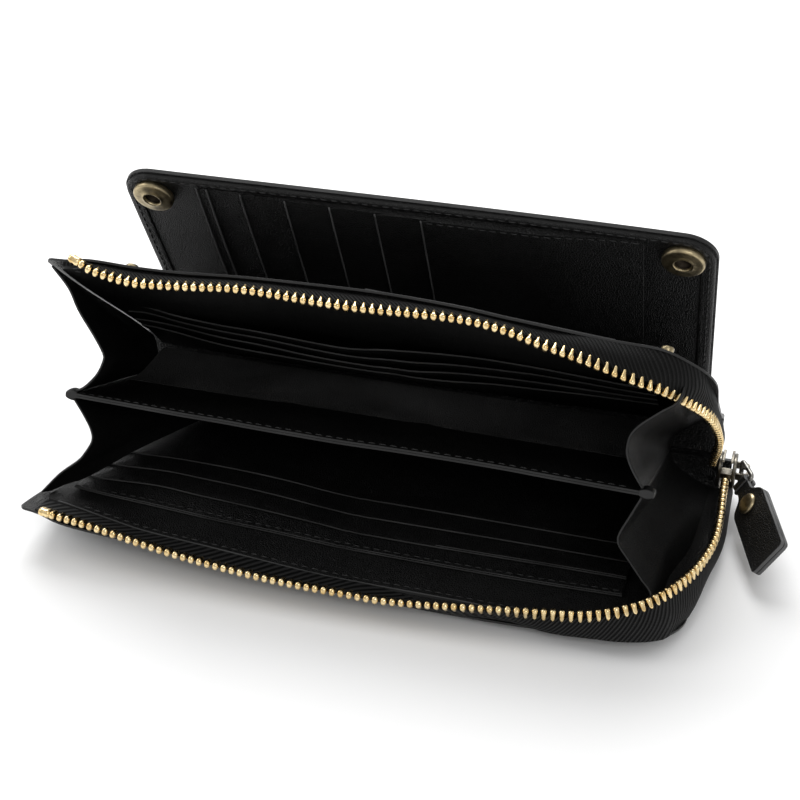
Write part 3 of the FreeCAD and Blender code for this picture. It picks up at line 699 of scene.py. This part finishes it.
# ---------------------------------------------------------------- zip
def chain_frames(points, place, foot, step):
    """Frames along a chain: position, heading, height direction (away from the tape's foot) and outward."""
    line = spline([place(x, s, h) for x, s, h in points], step)
    frames = []
    for k, here in enumerate(line):
        heading = (line[min(k + 1, len(line) - 1)] - line[max(k - 1, 0)]).normalized()
        rise = here - foot(here)
        rise = (rise - heading * rise.dot(heading)).normalized()
        frames.append((here, heading, rise, heading.cross(rise).normalized()))
    return frames


def outer_tape(x):
    """0 where the front tape lies inside the leather's edge, 1 where it hangs outside it."""
    return smooth((x - 2) / 30)


def edge_curve(reach, height, place, outside, deeper=0.0, inset=2.0):
    """Foot of the tape: inside the leather's free edge, coming out over it towards the right-hand corner."""
    def out(x):
        return outside * smooth((x - 42) / 18)
    last = RIGHT - 1.0 - inset
    marks = []
    for x in columns(LEFT + 3.5, last, 0.5, ZIP_CORNER - inset):
        s = reach(x) - inset + (inset + 0.7) * out(x) - deeper * (1 - outer_tape(x))
        marks.append(place(x, s, height(x, s, out(x))))
    end = reach(last) - inset + (inset + 0.7) * out(last)
    for k in range(1, 25):
        s = end + (4.0 - end) * k / 24
        x = last + (inset + 1.5) * out(last) * smooth(k / 5)
        marks.append(place(x, s, height(x, s, out(x))))
    return marks


def along_curve(curve):
    """Picks the point of the foot line that lies nearest a chain point."""
    fine = resample(curve, 0.5)
    spots = np.array([tuple(p) for p in fine])
    return lambda here: fine[int(((spots - np.array(tuple(here))) ** 2).sum(1).argmin())]


# tooth sections along its height: (height, half depth across the chain, half length along it)
FRONT_TOOTH = [(-1.7, 0.62, 0.50), (-1.5, 0.98, 0.66), (-0.8, 1.14, 0.74), (0.0, 1.12, 0.74),
               (0.7, 1.14, 0.80), (1.15, 1.10, 0.84), (1.5, 0.92, 0.72), (1.72, 0.55, 0.42)]
BACK_TOOTH = [(-1.75, 0.50, 0.34), (-1.5, 0.82, 0.46), (-0.8, 1.02, 0.54), (-0.1, 1.08, 0.62),
              (0.6, 1.16, 0.78), (1.15, 1.18, 0.90), (1.55, 0.98, 0.80), (1.8, 0.60, 0.48)]
STOP_SHAPE = [(-1.9, 0.8), (-1.6, 1.2), (-0.7, 1.35), (0.0, 1.15), (0.7, 1.35), (1.6, 1.2), (1.9, 0.8)]


def teeth(half, frames, sections, lean):
    """Metal teeth: rounded heads that meet the other row, slimmer legs clamped over the tape."""
    verts, faces = [], []
    for here, heading, rise, outward in frames:
        add_tube(verts, faces, [ring(here + heading * (lean * height) + rise * height, heading, outward,
                                     long, deep, 10, 2.6, 0.5) for height, deep, long in sections])
    dress(piece(half + "_teeth", verts, faces, [GOLD]), half + "_half", half + "_zip_teeth")


def stop(half, frame_at):
    """End stop: a folded metal staple with a waist, crimped round the tape."""
    here, heading, rise, outward = frame_at
    centre = here - heading * 2.6 - rise * 0.1
    verts, faces = [], []
    add_tube(verts, faces, [ring(centre + heading * at, rise, outward, wide * 1.35, wide * 0.92, 20, 3.0)
                            for at, wide in STOP_SHAPE])
    dress(piece(half + "_stop", verts, faces, [GOLD]), half + "_half", half + "_end_stop")


def tape(half, chain, foot, belly, mat):
    """Woven tape from under the lining to the cord that the teeth grip."""
    top, bottom = [], []
    rows = 9
    root = foot(chain[0][0])
    for here, _, rise, outward in chain:
        root = root.lerp(foot(here), 0.5)
        tip = here - rise * 0.3
        upper, lower = [], []
        for j in range(rows + 1):
            u = j / rows
            bulge = belly(here.x) * math.sin(math.pi * u) * (root - tip).length * 0.16
            half_thick = TAPE_THICK / 2 * (0.75 if j < rows - 1 else 1.25)
            upper.append(root.lerp(tip, u) + outward * (bulge + half_thick))
            lower.append(root.lerp(tip, u) + outward * (bulge - half_thick))
        top.append(upper)
        bottom.append(lower)
    obj = slab(half + "_tape", top, bottom, [mat, mat], 0.15)
    cols = rows + 1
    uvs = obj.data.uv_layers.new(name="weave").data
    for loop in obj.data.loops:
        k, j = divmod(loop.vertex_index % (len(top) * cols), cols)
        uvs[loop.index].uv = (k * TAPE_STEP, j * 0.8)
    dress(obj, half + "_half", half + "_zip_tape")


def zip_row(half, points, place, curve, belly, sections, lean, mat):
    """One half of the zip: its teeth end before the spine, its tape runs on a little further."""
    foot = along_curve(curve)
    chain = chain_frames(points, place, foot, PITCH)
    teeth(half, [f for f in chain if f[0].y < SPINE_Y - 11.5], sections, lean)
    stop(half, chain[0])
    x, s, h = points[0]
    fine = chain_frames([(x - 6.5, s - 0.8, h - 0.4)] + points, place, foot, TAPE_STEP)
    tape(half, [f for f in fine if f[0].y < SPINE_Y - 5.0], foot, belly, mat)


zip_row("front", FRONT_CHAIN, lambda x, s, z: Vector((x, SPINE_Y - s, z)),
        edge_curve(front_reach, lambda x, s, out: front_floor(x, s) + 0.3 - 1.3 * out, front_at, 1.0, 6.3),
        outer_tape, FRONT_TOOTH, 0.0, RIBBED_PAINTED_LIGHT)
zip_row("back", BACK_CHAIN, back_at,
        edge_curve(back_reach, lambda x, s, out: back_ceiling(x, s) - 0.3 + 0.8 * out, back_at, 0.6),
        lambda x: -1.0, BACK_TOOTH, 0.16, TWILL)


# ---------------------------------------------------------------- divider
PLY_OUT, PLY_IN = 0.62, 0.03


def divider_reach(x):
    return eased([(-91, 69.8), (-87.5, 70.6), (-81, 71.8), (-67.5, 74.1), (-54.5, 76.2), (-42, 77.4),
                  (-30, 79.1), (-18, 80.0), (-6, 80.5), (10, 79.0), (38, 77.9), (49, 78.6), (65, 79.0),
                  (76.5, 79.0)], x)


def divider_bow(x, s):
    w = smooth(s / 78)
    return w * (0.9 * math.sin((x + 92) / 168 * math.pi) - 0.2)


divider_xs = columns(-90.5, 76.5, 1.5, 1.5)
divider_runs = []
for node, side in (("divider_front_ply", -1), ("divider_back_ply", 1)):
    outside = lifted(divider_bow, side * PLY_OUT)
    skin = panel(node + "_leather", divider_at, divider_xs, 4.0, divider_reach, outside,
                 lifted(divider_bow, side * PLY_IN), [GUSSET, EDGE], edge=0.24)
    dress(skin, "divider", node)
    seam = run(divider_at, np.linspace(-89, 75, 110), divider_reach, 2.2, outside)
    divider_runs.append((seam, up_of(DIVIDER, side)))
dress(stitches("divider_stitching", divider_runs), "divider")


# ---------------------------------------------------------------- gussets
ROOT = 3.6
GUSSET_THICK = 0.7


def evenly(points, count):
    """count + 1 points spread evenly along a smooth curve."""
    line = spline(points, 0.2)
    return [line[round(k * (len(line) - 1) / count)] for k in range(count + 1)]


def gusset(node, mouth, low_edge, high_edge, inset, thick):
    """Accordion wall from its open mouth, of (position along, distance before the spine, height) points,
    down to its root. It joins the lower and the upper leaf along two lines from 0, its mouth, to 1."""
    across, deep = 34, 30
    rim = evenly([low_edge(0)] + [Vector((x, SPINE_Y - s, z)) for x, s, z in mouth] + [high_edge(0)], across)
    a, b = low_edge(1), high_edge(1)
    tip = (a + b) / 2 + X_AXIS * inset
    top, bottom = [], []
    for i in range(deep + 1):
        v = i / deep
        low_shift = low_edge(v) - rim[0].lerp(a, v)
        high_shift = high_edge(v) - rim[-1].lerp(b, v)
        line = []
        for k in range(across + 1):
            u = k / across
            foot = a * (1 - u) ** 2 + (tip * 2 - (a + b) / 2) * 2 * u * (1 - u) + b * u ** 2
            crease = X_AXIS * (0.35 * math.sin(v * 9 + u * 5) * math.sin(math.pi * u) * smooth(v * 4))
            line.append(rim[k].lerp(foot, v) + crease + low_shift * (1 - u) ** 2 + high_shift * u ** 2)
        top.append(line)
    for i in range(deep + 1):
        line = []
        for k in range(across + 1):
            du = top[i][min(k + 1, across)] - top[i][max(k - 1, 0)]
            dv = top[min(i + 1, deep)][k] - top[max(i - 1, 0)][k]
            line.append(top[i][k] + du.cross(dv).normalized() * thick)
        bottom.append(line)
    obj = slab(node + "_leather", top, bottom, [GUSSET, RIM_EDGE], 0.3, (1, 0, 0, 0))
    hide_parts(node)
    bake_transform(obj)


def on_leaf(place, x_from, x_to, s_from, height):
    """Line on a leaf from its mouth (0) to near the spine (1)."""
    def line(v):
        x, s = x_from + (x_to - x_from) * v, s_from + (ROOT - s_from) * v
        return place(x, s, height(x, s))
    return line


WALL_SINK, WALL_ON_DIVIDER = 0.4, 0.55
floor_side = lifted(front_floor, WALL_SINK)
ceiling_side = lifted(back_ceiling, -WALL_SINK)


def rows_side(x, s):
    """Just above the card rows, where the left wall's flange lies on them."""
    return floor_side(x, s) + 2.0 * smooth((77 - s) / 8) + 1.9 * min(1.0, max(0.0, (68 - s) / 23))


def divider_side(x_at, s_from, side):
    """Where a wall joins the divider's lower (-1) or upper (1) face."""
    return on_leaf(divider_at, x_at, x_at, s_from, lifted(divider_bow, side * WALL_ON_DIVIDER))


gusset("gusset_left_front",
       [(-91.2, 75, 15.9), (-86.4, 72.5, 19.6), (-84.8, 71, 21.5), (-82.9, 69, 25.2), (-83.4, 68, 28.5),
        (-85.8, 67, 32.6)],
       on_leaf(front_at, -95.4, -63.0, 79.0, rows_side), divider_side(-90.0, 69.2, -1),
       1.0, GUSSET_THICK)
gusset("gusset_left_back",
       [(-86.1, 65, 40.3), (-81.4, 65.5, 45.7), (-78.9, 65.5, 51.1), (-79.3, 65, 53.3), (-82.2, 64, 57.8),
        (-87.2, 62, 63.9), (-90.6, 60.3, 69.6)],
       divider_side(-90.0, 69.2, 1), on_leaf(back_at, -95.2, -94.8, 88.0, ceiling_side),
       1.0, GUSSET_THICK)
gusset("gusset_right_front",
       [(81.6, 79, 12.4), (78.3, 77, 15.8), (74.5, 76, 20.3), (71.1, 75, 24.4), (70.9, 74, 27.2),
        (73, 73.5, 32.5)],
       on_leaf(front_at, 85.5, 90.0, 82.0, floor_side), divider_side(76.0, 78.0, -1),
       -3.0, -GUSSET_THICK)
gusset("gusset_right_back",
       [(74.3, 75, 45.5), (72.3, 74, 48.2), (70.8, 73, 51.3), (70.5, 72, 53.7), (71.1, 71, 56.6),
        (73.3, 70, 59.5), (77.9, 68, 63), (82.2, 66, 66.3)],
       divider_side(76.0, 78.0, 1), on_leaf(back_at, 87.0, 90.0, 84.0, ceiling_side),
       -3.0, -GUSSET_THICK)

# folded tabs that bind the gussets' corners to the divider
for name, x0, x1, s0, s1 in (("divider_left_tab", -92.3, -88.4, 65.5, 70.3),
                             ("divider_right_tab", 75.2, 79.3, 73.5, 79.4)):
    def tab_face(sign):
        """Plump upper or lower face of the tab."""
        grid = []
        for i in range(9):
            x = x0 + (x1 - x0) * i / 8
            plump = sign * (0.95 + 0.75 * math.sin(math.pi * i / 8))
            grid.append([divider_at(x, s, divider_bow(x, s)
                                    + plump * (0.75 + 0.35 * math.sin(math.pi * k / 8)))
                         for k, s in enumerate(np.linspace(s0, s1, 9))])
        return grid
    dress(slab(name, tab_face(1), tab_face(-1), [GUSSET, RIM_EDGE], 0.45), "divider")

# loose rough lining at the bottom of the rear pouch; its suede colour is lightened as painted light on this
# dimly lit floor
floor_top, floor_bottom = [], []
back_wedge = up_of((DIVIDER + BACK) / 2)
for x in np.linspace(-88.0, 76.0, 61):
    low, high = divider_at(x, 33.5 + 0.5 * math.sin(x * 0.09), 0.75), back_at(x, 9.0, 5.2)
    line = []
    for u in np.linspace(0, 1, 19):
        sag = 1.3 * math.sin(math.pi * u) * (1 + 0.5 * math.sin(x * 0.13 + 4 * u) + 0.25 * math.sin(x * 0.31))
        line.append(low.lerp(high, u) - back_wedge * sag)
    floor_top.append(line)
    floor_bottom.append([point - back_wedge * 0.5 for point in line])
pouch_floor = slab("rear_pouch_floor", floor_top, floor_bottom, [SUEDE_PAINTED_LIGHT, SUEDE_PAINTED_LIGHT], 0.15)
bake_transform(pouch_floor)


# ---------------------------------------------------------------- leather folds along the spine
def strip(name, path, low, high, thick, node=None):
    """Strip of leather along the spine, from a path of (y, z) points, curved from one leaf to the other."""
    line = spline([Vector((0, y, z)) for y, z in path], 0.6)
    top, bottom = [], []
    for x in np.linspace(low, high, 61):
        bottom.append([point + X_AXIS * x for point in line])
        upper = []
        for k, point in enumerate(bottom[-1]):
            ahead = line[min(k + 1, len(line) - 1)] - line[max(k - 1, 0)]
            upper.append(point + Vector((0, ahead.z, -ahead.y)).normalized() * thick)
        top.append(upper)
    obj = slab(name, top, bottom, [OUTER, EDGE], 0.3)
    if node:
        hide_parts(node)
    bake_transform(obj)


SPINE_LEFT, SPINE_RIGHT = -92.5, 90.0
strip("spine_leather_low", [(45.7, 3.5), (45.75, 6.0), (45.8, 9.0), (46.0, 12.2)], SPINE_LEFT, SPINE_RIGHT,
      1.0, "spine_leather")
back_edge = turned(BACK, 0, -0.4, 9.0)
strip("spine_leather_high",
      [(46.0, 11.6), (46.3, 13.2), ((46.3 + back_edge.y) / 2 + 0.2, 15.6), back_edge.yz],
      SPINE_LEFT, SPINE_RIGHT, 1.0)
fold = [turned(BACK, 0, s, h) for s, h in ((-0.5, 8.0), (-1.1, 13.5), (-2.3, 16.5))] + [flap_at(0, 0.6, 3.6)]
strip("flap_fold_skin", [point.yz for point in fold], -84.5, 84.0, 1.2,
      "flap_fold_leather")


# ---------------------------------------------------------------- outer card pockets behind the back half
OUTER_ROWS, OUTER_FIRST, OUTER_STEP, OUTER_PLY = 5, -62.0, 13.8, 0.36

for number in range(OUTER_ROWS):
    left = OUTER_STEP * number + OUTER_FIRST
    card_row("back_outer_card_row_%d" % (number + 1), back_at, "back_half",
             columns(left, 64.0, 1.2, 1.2), 5.0, lambda x: 81.6,
             lambda x, s: back_ceiling(x, s) + 1.09 + (number + 1) * 0.38 + 0.35 * smooth((left + 7 - x) / 7),
             lambda x: OUTER_PLY, FINE_EDGE_AND_HIGHLIGHT, 0.12)


# ---------------------------------------------------------------- cover flap
FLAP_HALF, FLAP_FAR, FLAP_CORNER = 86.3, 82.4, 9.5
FLAP_OUT, FLAP_MID, FLAP_IN = 4.3, 3.03, 2.02
FLAP_ROWS, FLAP_FIRST, FLAP_STEP = 6, -63.0, 13.4


def flap_wave(x, s):
    return smooth(s / 80) * (0.9 * math.sin(x * 0.018 + 0.6) - 0.5)


def flap_sheet(name, inset, high, low, mats, edge, node):
    """One of the flap's two full layers, between two heights."""
    half, corner = FLAP_HALF - inset, FLAP_CORNER - inset
    sheet = panel(name, flap_at, columns(-half, half, corner, corner), 1.2,
                  lambda x: corner_reach(x, -half, half, FLAP_FAR - inset, corner, corner),
                  lifted(flap_wave, high), lifted(flap_wave, low), mats, edge=edge)
    dress(sheet, "cover_flap", node)


flap_sheet("flap_leather", 0, FLAP_OUT, FLAP_MID + 0.01, [OUTER, EDGE], 0.45, "flap_cover")
flap_sheet("flap_lining_skin", 0.7, FLAP_MID - 0.01, FLAP_IN, [LINING, EDGE], 0.35,
           "flap_lining")


def pressed(x):
    """The stack of card rows is pressed thin towards its sewn right-hand end."""
    return 1 - 0.82 * smooth((x - 34) / 28)


def flap_stack(x, s, rows):
    """Height of the flap's inner face on top of a number of card rows."""
    return 2.0 - 0.44 * rows * pressed(x) + flap_wave(x, s)


for number in range(FLAP_ROWS):
    node = "flap_card_row_%d" % (number + 1)
    left = FLAP_STEP * number + FLAP_FIRST

    def face(x, s):
        puff = 0.4 * smooth((left + 7 - x) / 7) * math.sin(math.pi * min(1, max(0, (s - 5) / 75)))
        return flap_stack(x, s, number + 1) - puff
    # only the left rim of each ply takes the light card edge colour, a painted highlight along it
    card_row(node, flap_at, "cover_flap", columns(left, 66.0, 1.0, 1.0), 5.0,
             lambda x: 79.4 - 0.8 * bump(x, left, 1.4), face, lambda x: 0.42 * pressed(x), CARD_EDGE_AND_HIGHLIGHT, 0.14,
             rims=(0, 0, 1, 0))
    # beads along each ply's left edge in the light card edge colour: a folded edge carrying a painted
    # highlight
    for suffix, at in (("_fold", 0.1), ("_inner_fold", 3.2))[:1 if number else 2]:
        bead = [flap_at(left + at, s, face(left, s) - 0.04) for s in np.linspace(6, 79.2, 50)]
        dress(sweep(node + suffix, bead, 0.26, [CARD_EDGE_AND_HIGHLIGHT], 8), "cover_flap")


def border(side, height, far):
    """Line round the flap's three free sides, inset from its side edges and its far edge."""
    left, right, top = -FLAP_HALF + side, FLAP_HALF - side, FLAP_FAR - far
    radius = max(3.0, FLAP_CORNER - side)
    turns = [(radius * (1 - math.cos(a)), top - radius * (1 - math.sin(a)))
             for a in np.linspace(0.1, 1.47, 9)]
    marks = [(left, s) for s in np.linspace(4, top - radius, 40)]
    marks += [(left + across, s) for across, s in turns]
    marks += [(x, top) for x in np.linspace(left + radius, right - radius, 90)]
    marks += [(right - across, s) for across, s in turns[::-1]]
    marks += [(right, s) for s in np.linspace(top - radius, 4, 40)]
    return [flap_at(x, s, height + flap_wave(x, s)) for x, s in marks]


# section of the turned-over edge: (inset from the sides, height, inset from the far edge)
TURNED_EDGE = [(0.55, 2.12, 0.55), (0.8, 1.72, 0.75), (1.4, 1.55, 1.0), (2.6, 1.52, 1.6), (3.8, 1.56, 2.2),
               (4.4, 1.66, 2.6), (4.7, 1.98, 2.8)]
turned_edge = slab("flap_turned_edge", [border(side, height, far) for side, height, far in TURNED_EDGE],
                   [border(side, 2.2, far) for side, height, far in TURNED_EDGE], [LINING, LINING], 0)
dress(turned_edge, "cover_flap")

flap_down, flap_up = up_of(FLAP, -1), up_of(FLAP)
flap_seam = [flap_at(x, 78.4, flap_stack(x, 78.4, FLAP_ROWS)) for x in np.linspace(5, 65, 40)]
dress(stitches("flap_stitching", [(border(2.3, 1.53, 1.5), flap_down), (border(2.6, FLAP_OUT, 2.6), flap_up),
                                  (flap_seam, flap_down)]), "cover_flap")


# ---------------------------------------------------------------- snaps, as (radius, height) profiles
SNAP_X, SNAP_S = 77.0, 73.8
SOCKET = [(5.9, 0.0), (6.05, 0.5), (6.05, 1.6), (5.95, 1.95), (5.7, 2.2), (5.3, 2.32), (4.3, 2.42),
          (3.5, 2.5), (3.15, 2.62), (2.85, 2.72), (2.6, 2.7), (2.42, 2.5), (2.35, 2.2), (2.3, 1.9),
          (2.3, 0.5), (0.01, 0.45)]
CAP = [(6.2, 0.0), (6.25, 0.3), (6.0, 0.75), (5.2, 1.1), (3.6, 1.32), (1.8, 1.42), (0.01, 1.45)]
STUD = [(5.0, 0.0), (5.0, 0.6), (4.7, 1.05), (3.6, 1.2), (2.6, 1.15), (1.75, 1.3), (1.6, 1.9), (1.6, 2.6),
        (1.85, 3.1), (1.85, 3.6), (1.5, 3.95), (0.7, 4.05), (0.01, 4.05)]


def snaps(name, profile, place, axis, body, node, ring_slots=None):
    """A snap part at each of the two places."""
    frames = [(place(x), axis, X_AXIS) for x in (-SNAP_X, SNAP_X)]
    # the socket's innermost rings take the near-black metal: painted shade in its hollow
    mats = [ANTIQUE, SOCKET_RECESS_SHADE] if ring_slots else [ANTIQUE]
    dress(lathe(name, profile, frames, mats, ring_slots), body, node)


# last three socket rings get the near-black metal, painted shade inside the socket
snaps("snap_socket_rings", SOCKET, lambda x: flap_at(x, SNAP_S, FLAP_IN + flap_wave(x, SNAP_S)), flap_down,
      "cover_flap", "snap_sockets", [0] * 13 + [1, 1, 1])
snaps("snap_cap_domes", CAP, lambda x: flap_at(x, SNAP_S, FLAP_OUT - 0.02 + flap_wave(x, SNAP_S)), flap_up,
      "cover_flap", "snap_caps")
snaps("snap_stud_posts", STUD, lambda x: turned(BACK, x + FLAP_SHIFT, SNAP_S, 12.0 + back_rise(x, SNAP_S)),
      up_of(BACK), "back_half", "snap_studs")


# ---------------------------------------------------------------- slider and pull
SLIDER_AT = Vector((94.5, SPINE_Y - 7.0, SPINE_Z))
PIN = SLIDER_AT + X_AXIS * 4.2
LINK_TURN, LINK_ROLL, TAB_DROP, LINK_REACH, LINK_HALF = 12.0, 57.0, 7.0, 8.0, 3.8
TAB_PLY, TAB_GAP, EYE_HALF = 1.3, 0.02, 2.6


def plate(name, outline, low, high, origin, axes, mats, edge, segments=4):
    """Flat part from an outline in (u, v), between two heights along w."""
    u_axis, v_axis, w_axis = axes
    count = len(outline)
    verts = [origin + u_axis * u + v_axis * v + w_axis * w for w in (low, high) for u, v in outline]
    faces = [tuple(range(count))[::-1], tuple(range(count, 2 * count))]
    faces += [(k, (k + 1) % count, count + (k + 1) % count, count + k) for k in range(count)]
    return rounded(piece(name, verts, faces, mats, [0, 0] + [len(mats) - 1] * count), edge, segments, 30)


def joined(name, parts):
    """Joins meshes that share their materials, with their rounded edges, into one piece."""
    depsgraph = bpy.context.evaluated_depsgraph_get()
    bm = bmesh.new()
    for part in parts:
        bm.from_mesh(bpy.data.meshes.new_from_object(part.evaluated_get(depsgraph)))
    whole = bpy.data.meshes.new(name)
    bm.to_mesh(whole)
    bm.free()
    for mat in parts[0].data.materials:
        whole.materials.append(mat)
    for part in parts:
        bpy.data.objects.remove(part)
    return shown(name, whole)


def slider_plate(name, outline, low, high, edge, segments=4):
    return plate(name, outline, low, high, SLIDER_AT, (Z_AXIS, Y_AXIS, X_AXIS), [SLIDER], edge, segments)


slider_outline = []
for k in range(40):
    a = 2 * math.pi * k / 40
    c, s = math.cos(a), math.sin(a)
    size = (abs(c) ** 3 + abs(s) ** 3) ** (-1 / 3)
    slider_outline.append((c * size * 5.3 * (1 - 0.16 * smooth((s + 1) / 2)), s * size * 4.9))
parts = [slider_plate("slider_plate_out", slider_outline, 1.65, 2.7, 0.35),
         slider_plate("slider_plate_in", slider_outline, -2.7, -1.65, 0.35)]
for sign in (-1, 1):
    flange = [(sign * 4.55, -4.2), (sign * 5.15, -3.8), (sign * 5.15, 2.6), (sign * 4.5, 3.6)]
    parts += [slider_plate("slider_flange", flange, low, low + 0.8, 0.15, 2) for low in (-1.7, 0.9)]
post = [(-0.8, -0.6), (0.8, -0.6), (0.9, -4.4), (-0.9, -4.4)]
parts.append(slider_plate("slider_post", post, -1.7, 1.7, 0.2, 2))
bridge_half = [(3.2, 2.5), (3.4, 4.2), (2.7, 5.9), (1.2, 6.2)]
bridge_path = spline([(x, y, 0) for y, x in bridge_half + [(-y, x) for y, x in bridge_half[::-1]]], 0.35)
bridge_line = [SLIDER_AT + point for point in bridge_path]
top, bottom = [], []
for k, point in enumerate(bridge_line):
    ahead = bridge_line[min(k + 1, len(bridge_line) - 1)] - bridge_line[max(k - 1, 0)]
    out = Vector((ahead.y, -ahead.x, 0)).normalized() * 0.42
    for line, face_at in ((top, point + out), (bottom, point - out)):
        line.append([face_at + Z_AXIS * w for w in (-1.15, 0, 1.15)])
parts.append(slab("slider_bridge", top, bottom, [SLIDER], 0.25, (0, 0, 0, 0)))
dress(joined("slider_shell", parts), "slider", "slider_body")

spin = Matrix.Rotation(math.radians(LINK_TURN), 3, "Z")
forward = spin @ -Y_AXIS
bar_axis = Matrix.Rotation(math.radians(LINK_ROLL), 3, forward) @ (spin @ X_AXIS)
BAR = PIN + forward * LINK_REACH
tab_up = Matrix.Rotation(math.radians(TAB_DROP), 3, bar_axis) @ -forward
tab_out = bar_axis.cross(tab_up)
tab_axes = (bar_axis, tab_up, tab_out)


def rounded_loop(corners, radii, steps):
    """Closed path through corners, each turned with a radius of its own."""
    made = []
    for k, corner in enumerate(corners):
        before, after = corners[k - 1] - corner, corners[(k + 1) % len(corners)] - corner
        radius = min(radii[k], before.length * 0.45, after.length * 0.45)
        start, end = corner + before.normalized() * radius, corner + after.normalized() * radius
        for j in range(steps + 1):
            u = j / steps
            made.append(start * (1 - u) ** 2 + corner * 2 * u * (1 - u) + end * u ** 2)
    return made


link_corners = [PIN - Z_AXIS * LINK_HALF, PIN + Z_AXIS * LINK_HALF, BAR + bar_axis * LINK_HALF,
                BAR - bar_axis * LINK_HALF]
link = sweep("link_wire", rounded_loop(link_corners, [1.5] * 4, 7), 0.7, [DARK_METAL], count=16, closed=True)
dress(link, "link", "pull_link")


def tab_plate(name, start, low):
    """A ply of the tab: a narrow neck, sloping shoulders, a broad end with small round corners."""
    side = [(2.6, start), (2.6, -5.0), (6.5, -8.5), (6.5, -35.0)]
    corners = [Vector((u, v, 0)) for u, v in side + [(-u, v) for u, v in side[::-1]]]
    outline = [(p.x, p.y) for p in rounded_loop(corners, [0.4, 2.5, 3.0, 1.6, 1.6, 3.0, 2.5, 0.4], 5)]
    return plate(name, outline, low, low + TAB_PLY - TAB_GAP, BAR, tab_axes, [PULL, RAW_EDGE], 0.3)


def eye_face(radius):
    """Outer or inner face of the leather eye round the link's bar."""
    turns = [math.radians(-35 + 12.5 * k) for k in range(21)]
    return [[BAR + (tab_up * math.sin(a) + tab_out * math.cos(a)) * radius + bar_axis * w
             for w in (-EYE_HALF, 0, EYE_HALF)] for a in turns]


eye = slab("tab_eye", eye_face(2.25), eye_face(0.98), [PULL, RAW_EDGE], 0.25)
dress(joined("tab_front_leather", [tab_plate("tab_front_flat", -1.0, TAB_GAP), eye]), "tab",
      "pull_tab_front_ply")
dress(tab_plate("tab_back_leather", -2.7, -TAB_PLY), "tab", "pull_tab_back_ply")
RIVET = [(0.01, -2.0), (1.6, -1.98), (2.6, -1.75), (2.8, -1.45), (2.7, -1.3), (1.2, -1.28), (1.2, 1.3),
         (3.2, 1.32), (3.3, 1.6), (3.15, 2.1), (2.6, 2.55), (1.5, 2.78), (0.01, 2.82)]
rivet = lathe("tab_rivet", RIVET, [(BAR - tab_up * 10.0, tab_out, bar_axis)], [ANTIQUE])
dress(rivet, "tab", "pull_rivet")


# ---------------------------------------------------------------- floor, light and camera
floor_mesh = bpy.data.meshes.new("floor")
corners = [(x, y, -0.0002) for x, y in ((-4, -4), (4, -4), (4, 4), (-4, 4))]
floor_mesh.from_pydata(corners, [], [(0, 1, 2, 3)])
floor_mesh.materials.append(Finish("pale_floor").shade((0.92, 0.92, 0.92, 1), 0.9, 0.1))
shown("floor", floor_mesh)

world = bpy.data.worlds.new("studio")
bpy.context.scene.world = world
world.use_nodes = True
background = world.node_tree.nodes["Background"]
background.inputs["Color"].default_value = (1, 1, 1, 1)
background.inputs["Strength"].default_value = 0.62


def softbox(name, position, target, wide, high, watts):
    """Rectangular lamp, in metres, that shines at a target."""
    light = bpy.data.lights.new(name, "AREA")
    light.shape = "RECTANGLE"
    light.size, light.size_y = wide, high
    light.energy = watts
    obj = bpy.data.objects.new(name, light)
    bpy.context.scene.collection.objects.link(obj)
    obj.location = position
    obj.rotation_mode = "QUATERNION"
    obj.rotation_quaternion = (Vector(target) - Vector(position)).to_track_quat("-Z", "Y")


softbox("key_softbox", (-0.25, 0.75, 0.95), (0, 0, 0.02), 1.1, 0.7, 16.0)
softbox("side_softbox", (-1.0, -0.1, 0.7), (0, 0, 0.03), 0.6, 0.6, 3.2)
softbox("front_strip", (0.5, -0.9, 0.8), (0, 0, 0.03), 0.5, 0.3, 2.5)

AZIMUTH, ELEVATION, ROLL = math.radians(14.8), math.radians(29.74), math.radians(1.36)
TARGET = Vector((-6.94, 35.6, 20.0))
DISTANCE = 533.32
look = Vector((-math.sin(AZIMUTH) * math.cos(ELEVATION), math.cos(AZIMUTH) * math.cos(ELEVATION),
               -math.sin(ELEVATION)))
side = Vector((math.cos(AZIMUTH), math.sin(AZIMUTH), 0))
upward = side.cross(look)
rolled_side = side * math.cos(ROLL) + upward * math.sin(ROLL)
rolled_up = upward * math.cos(ROLL) - side * math.sin(ROLL)
camera_data = bpy.data.cameras.new("camera")
camera_data.lens = 77.45
camera_data.sensor_width = 36
camera_data.clip_start = 0.01
camera = bpy.data.objects.new("camera", camera_data)
bpy.context.scene.collection.objects.link(camera)
camera.matrix_world = Matrix.Translation((TARGET - look * DISTANCE) * MM) @ Matrix(
    (rolled_side, rolled_up, -look)).transposed().to_4x4()
bpy.context.scene.camera = camera
bpy.context.scene.view_settings.view_transform = "Standard"
